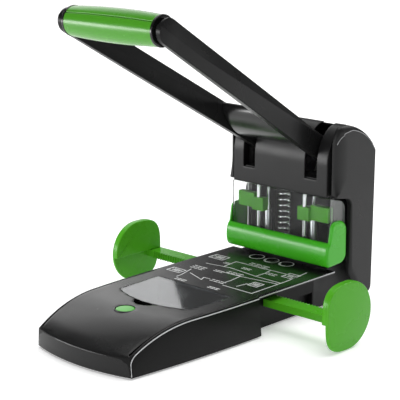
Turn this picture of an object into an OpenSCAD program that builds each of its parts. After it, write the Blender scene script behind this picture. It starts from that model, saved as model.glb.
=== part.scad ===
// Heavy duty two-hole punch with a loop lever, a cam-driven press, a clear shield,
// a storage bin under a hinged lid and two paper guides centred by a rack and pinion.
// All lengths are millimetres. The nose faces -Y, +Z is up, the origin is on the floor.

/* [Overall] */
// Length from the nose to the back edges of the cheeks
overall_len = 456; // [440:1:480]
// Height of the tray surface above the floor
tray_h = 52; // [49:0.5:58]
// Height of the rubber feet
foot_h = 2.5; // [2:0.5:4]
// Steps in each rounded corner
round_steps = 7; // [5:1:12]

/* [Base] */
// Width at the floor beside the side steps
base_w = 190.4; // [186:0.4:200]
// Width at the floor at the nose corners
nose_w = 164.8; // [156:0.4:170]
// How far each side leans in between floor and tray
side_lean = 5.2; // [3:0.2:7]
// Length of the wide front part, nose to side steps
front_len = 224.5; // [215:0.5:232]
// How far the nose bows out in front of its corners
nose_bow = 13; // [10:0.5:18]
// Height of the upright lip at the nose
lip_h = 25; // [20:0.5:32]
// Length over which the nose surface falls to the lip
crown_len = 88; // [75:1:95]
// Wall thickness of the tub
tub_t = 3; // [2.4:0.2:4]
// Thickness of the deck under the tray plate
deck_t = 2; // [1.6:0.2:3]
// Width of the rim beside the tray plate
rim_w = 2.5; // [2:0.1:4]
// Thickness of the tray plate
tray_t = 3; // [2.4:0.2:4]
// Width across the recessed side walls
recess_w = 149.4; // [146:0.4:156]
// Side opening of the tub: first and last height above the floor
pocket_z0 = 9; // [7:0.5:12]
pocket_z1 = 26; // [22:0.5:27]
// Length of the side opening
pocket_len = 28; // [20:1:34]

/* [Storage bin, lid and button] */
// Half width of the window at its back edge
win_back = 66; // [60:0.5:70]
// Half width of the window at its front corners
win_front = 62; // [56:0.5:66]
// Distance from the window's back edge to its front corners
win_len = 73.6; // [66:0.2:78]
// How far the window's front edge bows out
win_bow = 16; // [10:0.5:20]
// Distance of the window's back edge behind the nose
win_y = 204.6; // [200:0.2:208]
// Radius of the finger notch
notch_r = 17; // [14:0.5:20]
// Thickness of the lid
lid_t = 2.4; // [2:0.1:2.8]
// Gap around the lid
lid_gap = 0.4; // [0.3:0.05:0.8]
// Depth of the bin under the tray plate
bin_d = 34; // [26:0.5:38]
// Wall thickness of the bin
bin_t = 2; // [1.6:0.2:2.6]
// Radius of the lid's hinge pin
lid_pin_r = 1; // [0.8:0.1:1.2]
// Radius of the green button
button_r = 12; // [10:0.5:14]
// Distance of the button behind the nose
button_y = 82; // [78:0.5:86]
// Height of the button's dome over the tray
button_dome = 1.4; // [1:0.1:2]
// Travel of the button
button_travel = 2.5; // [2:0.1:3]

/* [Paper guides] */
// Module of the rack teeth
rack_module = 1.5; // [1.4:0.05:1.6]
// Teeth on the pinion, an even number
pinion_teeth = 24; // [20:2:26]
// Depth of each guide bar, as a share of the length left beside the pinion
bar_share = 0.24; // [0.2:0.01:0.26]
// Underside of the guide bars
bar_z = 30.7; // [30.2:0.1:32]
// Height of the guide bars
bar_t = 9.4; // [8:0.2:10]
// Distance of the right bar behind the side steps, as a share of the same length
bar_place = 0.31; // [0.27:0.01:0.34]
// Reach of the guides from the middle to the outer face of a paddle
paddle_reach = 200; // [185:1:215]
// Thickness of the upper part of a paddle
paddle_t = 10; // [8:0.5:12]
// Thickness of the plate below the ledge
paddle_plate_t = 4; // [3:0.2:5]
// Length of a paddle along the tray
paddle_len = 86; // [78:1:92]
// Height of the top of a paddle
paddle_top = 86; // [80:0.5:92]
// Gap between the floor and a paddle
paddle_floor_gap = 0.8; // [0.5:0.1:1.5]
// Squareness of the straight side of a paddle, 1 is a plain oval
paddle_square = 0.62; // [0.5:0.02:0.9]
// How far the bars reach past the middle
bar_past = 14; // [12:0.5:16]

/* [Punching] */
// Distance between the two holes
hole_pitch = 80; // [70:0.5:84]
// Radius of the punch pins
pin_r = 2.9; // [2.5:0.05:3.2]
// Distance of the pins in front of the back edges of the cheeks
pin_setback = 82; // [80:0.5:84]
// Distance from the hole centres to the paper stop
edge_margin = 12; // [10:0.5:13]
// Travel of the press
stroke = 11; // [9:0.5:12]
// Height of the paper slot
paper_gap = 6.3; // [5:0.1:7.5]
// Radius of the lower part of the guide posts
post_r = 4; // [3.5:0.1:4.5]
// Radius of the upper part of the guide posts
post_top_r = 2.5; // [2:0.1:3]
// Thickness of the head plate
head_t = 8; // [6:0.5:10]
// Thickness of the press bar
press_t = 16; // [12:0.5:18]
// Mean radius of the return spring
spring_r = 8; // [7:0.2:9]
// Radius of the spring wire
wire_r = 1.25; // [1:0.05:1.4]
// Turns of the return spring
spring_turns = 11; // [9:1:12]

/* [Guard and shield] */
// Height of the green guard
guard_h = 33; // [28:0.5:36]
// Height of the clear part between guard and front panel
view_h = 59.7; // [54:0.3:64]
// Half width of the guard over its ears
guard_half = 89.7; // [88.5:0.1:91]
// Thickness of the guard's ears
ear_t = 4; // [3:0.2:4.2]
// Thickness of the shield
shield_t = 2; // [1.6:0.1:2.2]

/* [Column] */
// Half width of the front panel
panel_half = 81; // [80:0.2:82]
// Thickness of the front panel
panel_t = 2.5; // [2:0.1:2.6]
// Depth of the front panel's round
barrel_d = 39.5; // [38:0.5:41]
// Height of the front panel's round
barrel_h = 51.5; // [46:0.5:54]
// Inner and outer edge of an arm slot
slot_in = 43.2; // [42.8:0.2:44]
slot_out = 63.6; // [63:0.2:64.4]
// Height of the slot's lower end above the panel's lower edge
slot_rise = 22; // [18:0.5:23]
// Inner face of a cheek
cheek_in = 85.5; // [85.2:0.1:86]
// Thickness of a cheek
cheek_t = 8; // [6:0.5:10]
// Length of a cheek's rounded front edge
cheek_soft = 22; // [12:0.5:26]
// Inner face of a frame plate
frame_in = 68.5; // [68.2:0.1:69]
// Thickness of a frame plate
frame_t = 6; // [5:0.5:8]
// Height of the pivot above the tray
pivot_rise = 146.5; // [144:0.5:150]
// Distance of the pivot behind the pins
pivot_back = 36; // [35:0.5:37]
// Radius of the pivot shaft
shaft_r = 8; // [7:0.2:9]

/* [Lever] */
// Distance from the pivot to the grip
lever_len = 388; // [380:1:410]
// Angle of the arms above level at rest
lever_angle = 30.2; // [28:0.1:31]
// Press angle of the lever
lever_sweep = 40; // [36:0.5:40]
// Thickness of an arm
arm_t = 11; // [10:0.5:12]
// Depth of an arm
arm_d = 31; // [28:0.5:31]
// Middle of an arm at the hub
arm_hub_x = 53; // [52.6:0.1:53.4]
// Middle of an arm at the grip
arm_grip_x = 82.7; // [82:0.1:85]
// Radius of the web's round front
web_r = 46; // [42:0.5:48]
// Thickness of the web
web_t = 4; // [3:0.2:5]
// Smallest distance of the cams from the pivot
cam_base = 24; // [23:0.2:25]
// Width of a cam
cam_w = 14; // [10:0.5:15]
// Half length of the grip sleeve
grip_half = 72; // [66:0.5:74]
// Radius of the grip at its ends
grip_end_r = 18.2; // [16:0.1:18.5]
// Radius of the grip at its middle
grip_mid_r = 20.5; // [18.6:0.1:21]
// Radius of the tube in the grip
grip_tube_r = 9; // [7:0.2:10]

/* [Chip drawer] */
// Half width of the drawer
drawer_half = 61.5; // [54:0.5:62]
// Height of the drawer
drawer_h = 19.6; // [16:0.2:20]
// Wall thickness of the drawer
drawer_t = 2; // [1.6:0.2:2.6]

/* [Clearances] */
// Gap between shells that lie beside each other
fit = 0.3; // [0.2:0.05:0.5]
// Running clearance of pins and shafts, on the radius
run_fit = 0.06; // [0.03:0.01:0.09]
// Play of the rack teeth at the pitch line
play = 0.15; // [0.1:0.01:0.25]

/* [Hidden] */
$fn = 64;

// Places along Y
nose_y = -overall_len / 2;
back_y = overall_len / 2;
step_y = nose_y + front_len;
pin_y = back_y - pin_setback;
stop_y = pin_y + edge_margin;
tray_end = pin_y + 3.3;
block_y = pin_y - 22.5;
panel_y = pin_y - 6.5;
seam_y = panel_y + barrel_d;
shield_y = panel_y + 0.5;
pivot_y = pin_y + pivot_back;
post_y = pin_y + 20;
spring_y = pin_y + 8;
frame_y = stop_y + 6;
cover_y = back_y - 9;
block_back = cover_y - 3.1;
win_y0 = nose_y + win_y;
win_y1 = win_y0 - win_len;
lid_axis_y = win_y0 - 3.6;
btn_y = nose_y + button_y;

// Heights
under_tray = tray_h - tray_t;
deck_z = under_tray - deck_t;
guard_z = tray_h + paper_gap;
head_z = guard_z + 1.7;
head_top = head_z + head_t;
panel_z = guard_z + guard_h + view_h;
pivot_z = tray_h + pivot_rise;
round_z = pivot_z - 6.5;
apex_z = round_z + barrel_h;
press_top = pivot_z - cam_base - fit;
press_low = press_top - press_t;
tip_z = head_z - 0.7;
lid_axis_z = under_tray + 1;

// Base curves
tray_w = base_w - 2 * side_lean;
side_sag = (base_w - nose_w) / 2;
side_run = front_len - nose_bow;
side_r = (side_run * side_run + side_sag * side_sag) / (2 * side_sag);
nose_r = (nose_w * nose_w / 4 + nose_bow * nose_bow) / (2 * nose_bow);
nose_cy = nose_y + nose_r;
crown_drop = tray_h - lip_h;
crown_r = (crown_len * crown_len + crown_drop * crown_drop) / (2 * crown_drop);
win_r = (win_front * win_front + win_bow * win_bow) / (2 * win_bow);
win_cy = win_y1 - win_bow + win_r;

// Rack and pinion
pitch = PI * rack_module;
pinion_r = rack_module * pinion_teeth / 2;
root_gap = 1.25 * rack_module;
tooth_top = 0.95 * rack_module;
guide_room = block_y - step_y - 2 * (pinion_r + root_gap);
bar_d = bar_share * guide_room;
right_bar_y = step_y + bar_place * guide_room;
right_root = right_bar_y + bar_d;
pinion_y = right_root + root_gap + pinion_r;
left_root = pinion_y + pinion_r + root_gap;
left_bar_y = left_root + bar_d;
bar_top = bar_z + bar_t;
bar_end = paddle_reach - paddle_plate_t;
tooth_half = pitch / 4 - play / 2;

// Cam lobe, an involute of a circle with this radius
cam_c = stroke / (lever_sweep * PI / 180);

// Return spring
spring_z0 = head_top;
spring_z1 = press_low;
spring_end = 2 * wire_r;
spring_pitch = (spring_z1 - spring_z0 - 2 * spring_end) / spring_turns;

function at(p) = [p[0], p[1]];

// Points of a polygon whose rows are [a, b, corner radius].
function soft(rows, n = round_steps) = [
  for (i = [0 : len(rows) - 1])
    let (P = at(rows[i]), A = at(rows[(i + len(rows) - 1) % len(rows)]),
      B = at(rows[(i + 1) % len(rows)]), r = rows[i][2],
      u = (A - P) / norm(A - P), v = (B - P) / norm(B - P),
      h = acos(u * v) / 2, c = P + (u + v) / norm(u + v) * (r / sin(h)),
      s = P + u * (r / tan(h)) - c, e = P + v * (r / tan(h)) - c, w = 180 - 2 * h)
    each (r == 0 ? [P] : [for (k = [0 : n]) c + (s * sin((1 - k / n) * w) + e * sin(k / n * w)) / sin(w)])];

// Extrude a drawing of the (Y, Z) plane along +X from x0.
module along_x(x0, w) {
  translate([x0, 0, 0]) rotate([90, 0, 90]) linear_extrude(w) children();
}

module both_sides() {
  children();
  mirror([1, 0, 0]) children();
}

// Base outer form, g further in all round and dn lower.
module base_form(g, dn) {
  top = tray_h + 6;
  lean = side_lean * top / tray_h;
  a0 = asin((crown_len - g) / crown_r);
  n = 24;
  intersection() {
    translate([base_w / 2 - side_r, step_y, 0])
      cylinder(r1 = side_r - g, r2 = side_r - lean - g, h = top, $fn = 720);
    translate([side_r - base_w / 2, step_y, 0])
      cylinder(r1 = side_r - g, r2 = side_r - lean - g, h = top, $fn = 720);
    translate([0, nose_cy, 0]) rotate_extrude($fn = 360)
      polygon(concat([[0, 0], [nose_r - g, 0]],
        [for (k = [0 : n]) let (a = a0 * (1 - k / n))
          [nose_r - crown_len + crown_r * sin(a), tray_h - dn - crown_r * (1 - cos(a))]],
        [[0, tray_h - dn]]));
  }
}

module slab(y0, y1, z0, z1) {
  translate([-base_w, y0, z0]) cube([2 * base_w, y1 - y0, z1 - z0]);
}

foot_x = 58;
cup_z = deck_z - 9.5 - button_travel;
foot_front = nose_y + 48;
foot_back = block_back - 22;

module bar_slot(y0, y1) {
  translate([recess_w / 2 - tub_t - 1, y0, bar_z - 0.5])
    cube([tub_t + 2, y1 - y0, bar_t + 1]);
}

module base_tub() color("#26272a") difference() {
  union() {
    difference() {
      intersection() {
        base_form(0, 0);
        slab(nose_y - 9, step_y, foot_h, tray_h + 5);
      }
      intersection() {
        difference() {
          base_form(rim_w, -2);
          base_form(-4, tray_t);
        }
        slab(nose_y - 9, step_y + 1, 0, tray_h + 5);
      }
      intersection() {
        difference() {
          base_form(rim_w, -2);
          base_form(-4, tray_t + fit);
        }
        slab(nose_y - 9, nose_y + crown_len + 20, 0, tray_h + 5);
      }
      intersection() {
        base_form(tub_t, tray_t + deck_t);
        slab(nose_y - 9, step_y - tub_t, 0, tray_h + 5);
      }
    }
    both_sides() translate([foot_x, foot_front, foot_h]) cylinder(r = 10, h = deck_z - foot_h - 14);
    both_sides() translate([foot_x + 8, foot_front - 4, foot_h]) cube([13, 8, 22]);
    difference() {
      translate([0, btn_y, cup_z - 2]) cylinder(r = button_r + 4.5, h = deck_z - cup_z + 1.5);
      translate([0, btn_y, cup_z]) cylinder(r = button_r + 2.2, h = 20);
    }
  }
  translate([-win_back - 3.5, win_y1 - win_bow - 12.5, deck_z - 1])
    cube([2 * win_back + 7, win_len + win_bow + 15.5, deck_t + 2]);
  translate([0, btn_y, deck_z - 4]) cylinder(r = button_r + 2.2, h = deck_t + 6);
}

module rear_tub() color("#26272a") difference() {
  translate([-recess_w / 2, step_y, foot_h])
    cube([recess_w, block_y - step_y, under_tray - foot_h]);
  translate([tub_t - recess_w / 2, step_y - 1, 0])
    cube([recess_w - 2 * tub_t, block_y - step_y - tub_t + 1, deck_z]);
  bar_slot(right_bar_y - 0.5, right_root + root_gap + tooth_top + 0.5);
  mirror([1, 0, 0]) bar_slot(left_root - root_gap - tooth_top - 0.5, left_bar_y + 0.5);
  both_sides() translate([recess_w / 2 - tub_t - 1, block_y - 2 - pocket_len, pocket_z0])
    cube([tub_t + 2, pocket_len, pocket_z1 - pocket_z0]);
}

module bottom_plate() color("#1b1c1e") difference() {
  intersection() {
    base_form(tub_t + fit, 0);
    slab(nose_y, step_y - tub_t - fit, foot_h, foot_h + 2);
  }
  both_sides() translate([foot_x, foot_front, 0]) cylinder(r = 10 + fit, h = 9);
  both_sides() translate([foot_x, foot_front - 4 - fit, 0]) cube([40, 8 + 2 * fit, 9]);
}

module rubber_feet() color("#141414") both_sides() for (y = [foot_front, foot_back])
  translate([foot_x, y, 0]) cylinder(r1 = 8.4, r2 = 9, h = foot_h);

// The window of the tray, g smaller all round.
module window_form(g, z, h) intersection() {
  translate([0, 0, z]) linear_extrude(h) polygon([
    [-win_back + g, win_y0 - g], [win_back - g, win_y0 - g],
    [win_front - g, win_y1 - win_bow], [-win_front + g, win_y1 - win_bow]]);
  translate([0, win_cy, z]) cylinder(r = win_r - g, h = h, $fn = 180);
}

lug_x = 53.2;
die_half = 0.745 * hole_pitch;
die_front = tray_end - 9.2;
press_half = 0.92 * frame_in;
web_half = 1.32 * arm_hub_x;
lug_w = 4.8;

module tray_top() color("#3a3b3e") {
  difference() {
    union() {
      intersection() {
        difference() {
          base_form(rim_w + fit, 0);
          base_form(-4, tray_t);
        }
        slab(nose_y, step_y + fit + 0.5, 0, tray_h + 5);
      }
      translate([-tray_w / 2, step_y + fit, under_tray])
        cube([tray_w, tray_end - step_y - fit, tray_t]);
    }
    window_form(0, under_tray - 1, tray_t + 2);
    translate([0, win_y1 - win_bow + 9, under_tray - 1]) cylinder(r = notch_r, h = tray_t + 2);
    translate([0, btn_y, under_tray - 2]) cylinder(r = button_r + fit, h = tray_t + 4);
    translate([-die_half - 0.4, die_front - 0.2, under_tray - 1]) cube([2 * die_half + 0.8, 20, tray_t + 2]);
  }
  both_sides() difference() {
    union() {
      translate([lug_x, lid_axis_y - 2.2, lid_axis_z - 2.4]) cube([lug_w, 5.4, 4.2]);
      translate([lug_x, lid_axis_y, under_tray]) cube([lug_w, 5, tray_t - 0.2]);
    }
    translate([lug_x - 1, lid_axis_y, lid_axis_z]) rotate([0, 90, 0])
      cylinder(r = lid_pin_r + 0.02, h = lug_w + 2);
  }
}

module parts_bin() color("#1d1e20") difference() {
  y0 = win_y1 - win_bow - 12;
  y1 = win_y0 + 2.4;
  translate([-win_back - 3, y0, under_tray - bin_d]) cube([2 * win_back + 6, y1 - y0, bin_d]);
  translate([-win_back - 3 + bin_t, y0 + bin_t, under_tray - bin_d + bin_t])
    cube([2 * win_back + 6 - 2 * bin_t, y1 - y0 - 2 * bin_t, bin_d]);
}

module lid_hinge_pin() color("#c9ccd0") translate([-lug_x - lug_w, lid_axis_y, lid_axis_z])
  rotate([0, 90, 0]) cylinder(r = lid_pin_r, h = 2 * (lug_x + lug_w));

module clear_lid() color("#aab4bb") difference() {
  union() {
    difference() {
      window_form(lid_gap, tray_h - lid_t, lid_t);
      translate([-win_back, lid_axis_y + 2, tray_h - 8]) cube([2 * win_back, 9, 16]);
      both_sides() translate([lug_x - 0.5, lid_axis_y - 3.5, tray_h - 8]) cube([lug_w + 1, 12, 16]);
    }
    translate([0.5 - lug_x, lid_axis_y, lid_axis_z]) rotate([0, 90, 0])
      cylinder(r = lid_pin_r + 0.95, h = 2 * lug_x - 1);
  }
  translate([-lug_x - 1, lid_axis_y, lid_axis_z]) rotate([0, 90, 0])
    cylinder(r = lid_pin_r + run_fit, h = 2 * lug_x + 2);
}

module release_button() color("#4f9a2c") translate([0, btn_y, 0]) rotate_extrude($fn = 96) polygon(concat(
  [[0, deck_z - 9], [button_r - 2, deck_z - 9], [button_r - 2, deck_z - 3], [button_r + 1.6, deck_z - 3],
    [button_r + 1.6, deck_z - 1], [button_r, deck_z - 1], [button_r, tray_h - 0.8]],
  [for (k = [0 : 8]) let (t = k / 8) [button_r - 0.6 - (button_r - 0.6) * sin(90 * t),
    tray_h - 0.2 + button_dome * (1 - pow(1 - sin(90 * t), 2))]]));

module rack_carrier() color("#2b2c2e") difference() {
  half = recess_w / 2 - tub_t - fit;
  union() {
    translate([-half, right_bar_y - 6, bar_z - 3.3])
      cube([2 * half, left_bar_y - right_bar_y + 12, 3]);
    translate([-half, right_bar_y - 6, bar_z - 1]) cube([2 * half, 5.6, bar_t + 3]);
    translate([-half, left_bar_y + 0.4, bar_z - 1]) cube([2 * half, 5.6, bar_t + 3]);
  }
  translate([0, pinion_y, bar_z - 9]) cylinder(r = 4, h = 20);
}

module pinion_axle() color("#c9ccd0") translate([0, pinion_y, bar_z - 3.3]) {
  cylinder(r = 4, h = bar_t + 4.3);
  translate([0, 0, bar_t + 3.3]) cylinder(r = 6.5, h = 1.6);
}

// Half angle of a pinion tooth at radius r, involute flanks at 20 degrees.
function inv(a) = tan(a) * 180 / PI - a;
base_r = pinion_r * cos(20);
function half_tooth(r) = tooth_half / pinion_r * 180 / PI + inv(20) - inv(acos(min(1, base_r / r)));
flank = [pinion_r - root_gap, base_r, base_r + (pinion_r + tooth_top - base_r) * 0.35,
  base_r + (pinion_r + tooth_top - base_r) * 0.7, pinion_r + tooth_top];

module rack_pinion() color("#d8d4c8") translate([0, pinion_y, bar_z + 0.4]) difference() {
  linear_extrude(bar_t - 1) polygon([for (t = [0 : pinion_teeth - 1])
    let (a = 90 + t * 360 / pinion_teeth)
    each concat([for (r = flank) r * [cos(a - half_tooth(r)), sin(a - half_tooth(r))]],
      [for (k = [4 : -1 : 0]) flank[k] * [cos(a + half_tooth(flank[k])), sin(a + half_tooth(flank[k]))]])]);
  translate([0, 0, -1]) cylinder(r = 4 + run_fit, h = bar_t + 2);
  for (q = [0 : 3]) rotate([0, 0, 45 + 90 * q]) translate([10.5, 0, -1]) cylinder(r = 3, h = bar_t + 2);
}

// Toothed bar with its root line on y = 0 and its teeth toward +Y, running along +X.
module rack_form() {
  low = tooth_half + root_gap * tan(20);
  tip = tooth_half - tooth_top * tan(20);
  first = -floor((bar_past - 1) / pitch - 0.5);
  count = floor((paddle_reach - 14) / pitch);
  translate([0, 0, bar_z]) linear_extrude(bar_t) polygon(concat(
    [[-bar_past, 0], [-bar_past, -bar_d], [bar_end, -bar_d], [bar_end, 0]],
    [for (k = [count : -1 : first]) let (x = (k - 0.5) * pitch)
      each [[x + low, 0], [x + tip, root_gap + tooth_top], [x - tip, root_gap + tooth_top], [x - low, 0]]]));
}

// Outline of a paddle round its middle: an oval behind, squarer in front.
function pw(v, e) = sign(v) * pow(abs(v), e);
function paddle_pts(s) = [for (k = [0 : 47]) let (a = 7.5 * k, e = cos(a) < 0 ? paddle_square : 1)
  [s * paddle_len / 2 * pw(cos(a), e), (paddle_top - paddle_floor_gap) / 2 * pw(sin(a), e)]];

module paddle_form(s, y) {
  mid_z = (paddle_top + paddle_floor_gap) / 2;
  along_x(paddle_reach - paddle_plate_t, paddle_plate_t) translate([y, mid_z]) polygon(paddle_pts(s));
  intersection() {
    along_x(paddle_reach - paddle_t, paddle_t - paddle_plate_t + 0.5)
      translate([y, mid_z]) polygon(paddle_pts(s));
    translate([0, y - paddle_len, bar_top + 0.2]) cube([2 * paddle_reach, 2 * paddle_len, paddle_top]);
  }
}

paddle_right_y = right_bar_y - 28.6 + paddle_len / 2;
paddle_left_y = left_bar_y - paddle_len / 2;

module right_rack() color("#5a9e35") translate([0, right_root, 0]) rack_form();
module left_rack() color("#5a9e35") translate([0, left_root, 0]) rotate([0, 0, 180]) rack_form();
module right_paddle() color("#5a9e35") paddle_form(1, paddle_right_y);
module left_paddle() color("#5a9e35") mirror([1, 0, 0]) paddle_form(-1, paddle_left_y);

module die_block() color("#2a2b2d") difference() {
  union() {
    translate([-recess_w / 2, block_y + 0.4, foot_h])
      cube([recess_w, block_back - block_y - 0.4, under_tray - foot_h]);
    translate([-recess_w / 2, tray_end + 0.2, foot_h])
      cube([recess_w, block_back - tray_end - 0.2, tray_h - foot_h]);
  }
  translate([-drawer_half - 0.5, block_y + 5, 5]) cube([2 * drawer_half + 1, overall_len, drawer_h + 1.5]);
  translate([-die_half - 0.2, die_front, tray_h - 8])
    cube([2 * die_half + 0.4, stop_y - die_front, 12]);
  both_sides() translate([hole_pitch / 2, pin_y, 10]) cylinder(r = pin_r + 2.5, h = tray_h);
}

module die_plate() color("#b9bcc0") difference() {
  translate([-die_half, die_front + 0.2, tray_h - 8]) cube([2 * die_half, stop_y - die_front - 0.4, 8]);
  both_sides() translate([hole_pitch / 2, pin_y, 0]) cylinder(r = pin_r + run_fit, h = tray_h + 9);
  both_sides() translate([hole_pitch / 2, pin_y, tray_h - 9]) cylinder(r = pin_r + 0.8, h = 4.5);
}

module paper_stop() color("#8d9094") translate([-frame_in + 0.2, stop_y, tray_h])
  cube([2 * frame_in - 0.4, 3, head_z - tray_h]);

module chip_drawer() color("#303134") difference() {
  union() {
    translate([-drawer_half, block_y + 6, 5.4]) cube([2 * drawer_half, cover_y - block_y - 7, drawer_h]);
    translate([-drawer_half - 4, cover_y - 2.6, 3.6]) cube([2 * drawer_half + 8, 2.6, drawer_h + 3]);
  }
  translate([drawer_t - drawer_half, block_y + 6 + drawer_t, 5.4 + drawer_t])
    cube([2 * (drawer_half - drawer_t), cover_y - block_y - 11, drawer_h]);
  translate([-22, cover_y - 1.4, 8]) cube([44, 3, 11]);
}

module frame_form() difference() {
  along_x(frame_in, frame_t) polygon(soft([[frame_y, tray_h, 0], [block_back - 2, tray_h, 0],
    [block_back - 2, pivot_z + 6, 6], [pivot_y + 12, pivot_z + 27, 8], [pivot_y - 12, pivot_z + 27, 8],
    [frame_y, pivot_z + 14, 4]]));
  translate([frame_in - 1, pivot_y, pivot_z]) rotate([0, 90, 0]) cylinder(r = shaft_r + 0.02, h = frame_t + 2);
}

module right_frame_plate() color("#8a8d91") frame_form();
module left_frame_plate() color("#8a8d91") mirror([1, 0, 0]) frame_form();

module pivot_shaft() color("#c9ccd0") translate([0.1 - cheek_in, pivot_y, pivot_z])
  rotate([0, 90, 0]) cylinder(r = shaft_r, h = 2 * cheek_in - 0.2);

module pivot_bushes() color("#b08d4a") both_sides() difference() {
  translate([arm_hub_x + 7, pivot_y, pivot_z]) rotate([0, 90, 0])
    cylinder(r = shaft_r + 5, h = frame_in - arm_hub_x - 7.1);
  translate([arm_hub_x, pivot_y, pivot_z]) rotate([0, 90, 0]) cylinder(r = shaft_r + 0.02, h = 30);
}

module head_plate() color("#8d9094") difference() {
  translate([0.1 - frame_in, panel_y + 3.6, head_z])
    cube([2 * frame_in - 0.2, post_y + 10 - panel_y - 3.6, head_t]);
  both_sides() translate([hole_pitch / 2, pin_y, 0]) cylinder(r = pin_r + run_fit, h = 3 * tray_h);
  both_sides() translate([hole_pitch / 2, post_y, 0]) cylinder(r = post_r + 0.02, h = 3 * tray_h);
}

module guide_posts() color("#c9ccd0") both_sides() translate([hole_pitch / 2, post_y, head_z]) {
  cylinder(r = post_r, h = panel_z - head_z - 29);
  cylinder(r = post_top_r, h = press_top - head_z - 1);
}

module guard() color("#4f9a2c") {
  z1 = guard_z + guard_h;
  along_x(ear_t - guard_half, 2 * (guard_half - ear_t)) polygon(soft([
    [panel_y + 3.5, guard_z, 0], [panel_y + 1, guard_z, 2], [panel_y - 7.4, guard_z + 12, 9],
    [panel_y - 5, z1 - 7, 14], [panel_y - 1.3, z1, 1], [panel_y + 0.2, z1, 0.5],
    [panel_y + 0.2, guard_z + 6, 0], [panel_y + 3.5, guard_z + 4, 0]]));
  both_sides() along_x(guard_half - ear_t, ear_t) polygon(soft([
    [panel_y + 1, guard_z, 2], [panel_y - 7.4, guard_z + 12, 9], [panel_y - 5, z1 - 7, 14],
    [panel_y - 2, z1 + 2, 4], [panel_y + 3.5, z1 + 26.7, 9], [panel_y + 34, z1 + 28.2, 15],
    [panel_y + 35, guard_z + 2.2, 13]]));
}

module shield() color("#c4d2d6") {
  half = guard_half - ear_t - fit;
  z1 = panel_z - fit;
  z0 = guard_z + 6.3;
  translate([-half, shield_y, z0]) cube([2 * half, shield_t, z1 - z0]);
  both_sides() along_x(half - shield_t, shield_t) polygon(soft([
    [shield_y, z0, 0], [shield_y + 34, z0, 3], [shield_y + 34, z1 - 10.7, 8],
    [shield_y, z1, 0]]));
}

function barrel(g) = concat([[panel_y + g, panel_z], [panel_y + g, round_z]],
  [for (k = [1 : 14]) let (a = 90 * k / 14)
    [seam_y - (barrel_d - g) * cos(a), round_z + (barrel_h - g) * sin(a)]]);
function turned(p) = [for (k = [len(p) - 1 : -1 : 0]) p[k]];

module front_panel() color("#3b3c3f") difference() {
  union() {
    along_x(-panel_half, 2 * panel_half) polygon(concat(barrel(0), turned(barrel(panel_t))));
    both_sides() along_x(panel_half - 3, 3) polygon(concat(barrel(0), [[seam_y, panel_z + 8]]));
  }
  both_sides() translate([slot_in, panel_y - 9, panel_z + slot_rise])
    cube([slot_out - slot_in, barrel_d + 20, barrel_h + 60]);
  translate([-panel_half - 1, pivot_y, pivot_z]) rotate([0, 90, 0])
    cylinder(r = shaft_r + 1, h = 2 * panel_half + 2);
}

// Arc in the (Y, Z) plane from its top point, falling toward the back.
function fall_r(run, drop) = (run * run + drop * drop) / (2 * drop);
function fall(y, z, r, a0, a1) = [for (k = [0 : 12]) let (a = a0 + (a1 - a0) * k / 12)
  [y + r * sin(a), z - r * (1 - cos(a)), 0]];

cover_top = seam_y - 11;
cover_r = fall_r(cover_y - cover_top, apex_z - 0.7 - pivot_z - 15.5);

function cover_line(g) = [for (q = fall(cover_top, apex_z - 0.7 - g, cover_r - g,
  asin((seam_y - cover_top) / (cover_r - g)), asin((cover_y - cover_top - g) / (cover_r - g)))) at(q)];

module rear_cover() color("#3b3c3f") along_x(0.1 - cheek_in, 2 * cheek_in - 0.2) polygon(concat(
  cover_line(0), [[cover_y, 28], [cover_y - 3, 28]], turned(cover_line(3))));

crest_y = panel_y + 18.5;
crest_z = apex_z + 2.2;
cheek_y = panel_y + 4;
cheek_r = fall_r(back_y - crest_y, crest_z - pivot_z - 6);

module cheek_form() intersection() {
  along_x(cheek_in, cheek_t) polygon(soft(concat([[cheek_y, panel_z + 0.8, 4]],
    [for (k = [0 : 6]) [crest_y - (crest_y - cheek_y) * cos(15 * k), crest_z - 24 * (1 - sin(15 * k)), 0]],
    [for (k = [1 : 12]) fall(crest_y, crest_z, cheek_r, 0, asin((back_y - crest_y) / cheek_r))[k]],
    [[back_y - 2, 8, 10], [back_y - 25, 8, 8], [back_y - 50.4, 46, 24], [back_y - 50.4, panel_z - 5, 12]])));
  linear_extrude(2 * apex_z) polygon(concat([[cheek_in, cheek_y]],
    [for (k = [0 : 8]) let (a = 90 * k / 8)
      [cheek_in + 1 + (cheek_t - 1) * sin(a), cheek_y + cheek_soft * (1 - cos(a))]],
    [[cheek_in + cheek_t, back_y + 1], [cheek_in, back_y + 1]]));
}

module right_cheek() color("#3b3c3f") cheek_form();
module left_cheek() color("#3b3c3f") mirror([1, 0, 0]) cheek_form();

// Spring path: straight, then wound, then straight again.
rings = 8 * spring_turns;
spring_path = concat([[0, spring_z0], [0, spring_z0 + spring_end / 2]],
  [for (k = [0 : rings]) [360 * k / 8, spring_z0 + spring_end + spring_pitch * k / 8]],
  [[360 * spring_turns, spring_z1 - spring_end / 2], [360 * spring_turns, spring_z1]]);
function spot(k) = let (q = spring_path[k]) [spring_r * cos(q[0]), spring_r * sin(q[0]), q[1]];
last_ring = len(spring_path) - 1;
function ring_pts(k) = let (a = spring_path[k][0], n1 = [cos(a), sin(a), 0],
    d = spot(min(last_ring, k + 1)) - spot(max(0, k - 1)),
    t0 = k < 2 || k > last_ring - 2 ? [0, 0, 1] : d - n1 * (d * n1), t = t0 / norm(t0), n2 = cross(t, n1))
  [for (j = [0 : 5]) spot(k) + wire_r * (n1 * cos(60 * j) + n2 * sin(60 * j))];
spring_gap = min([for (i = [0 : last_ring - 6]) for (j = [i + 6 : last_ring]) norm(spot(i) - spot(j))]) - 2 * wire_r;
echo(spring_gap = spring_gap);

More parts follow.
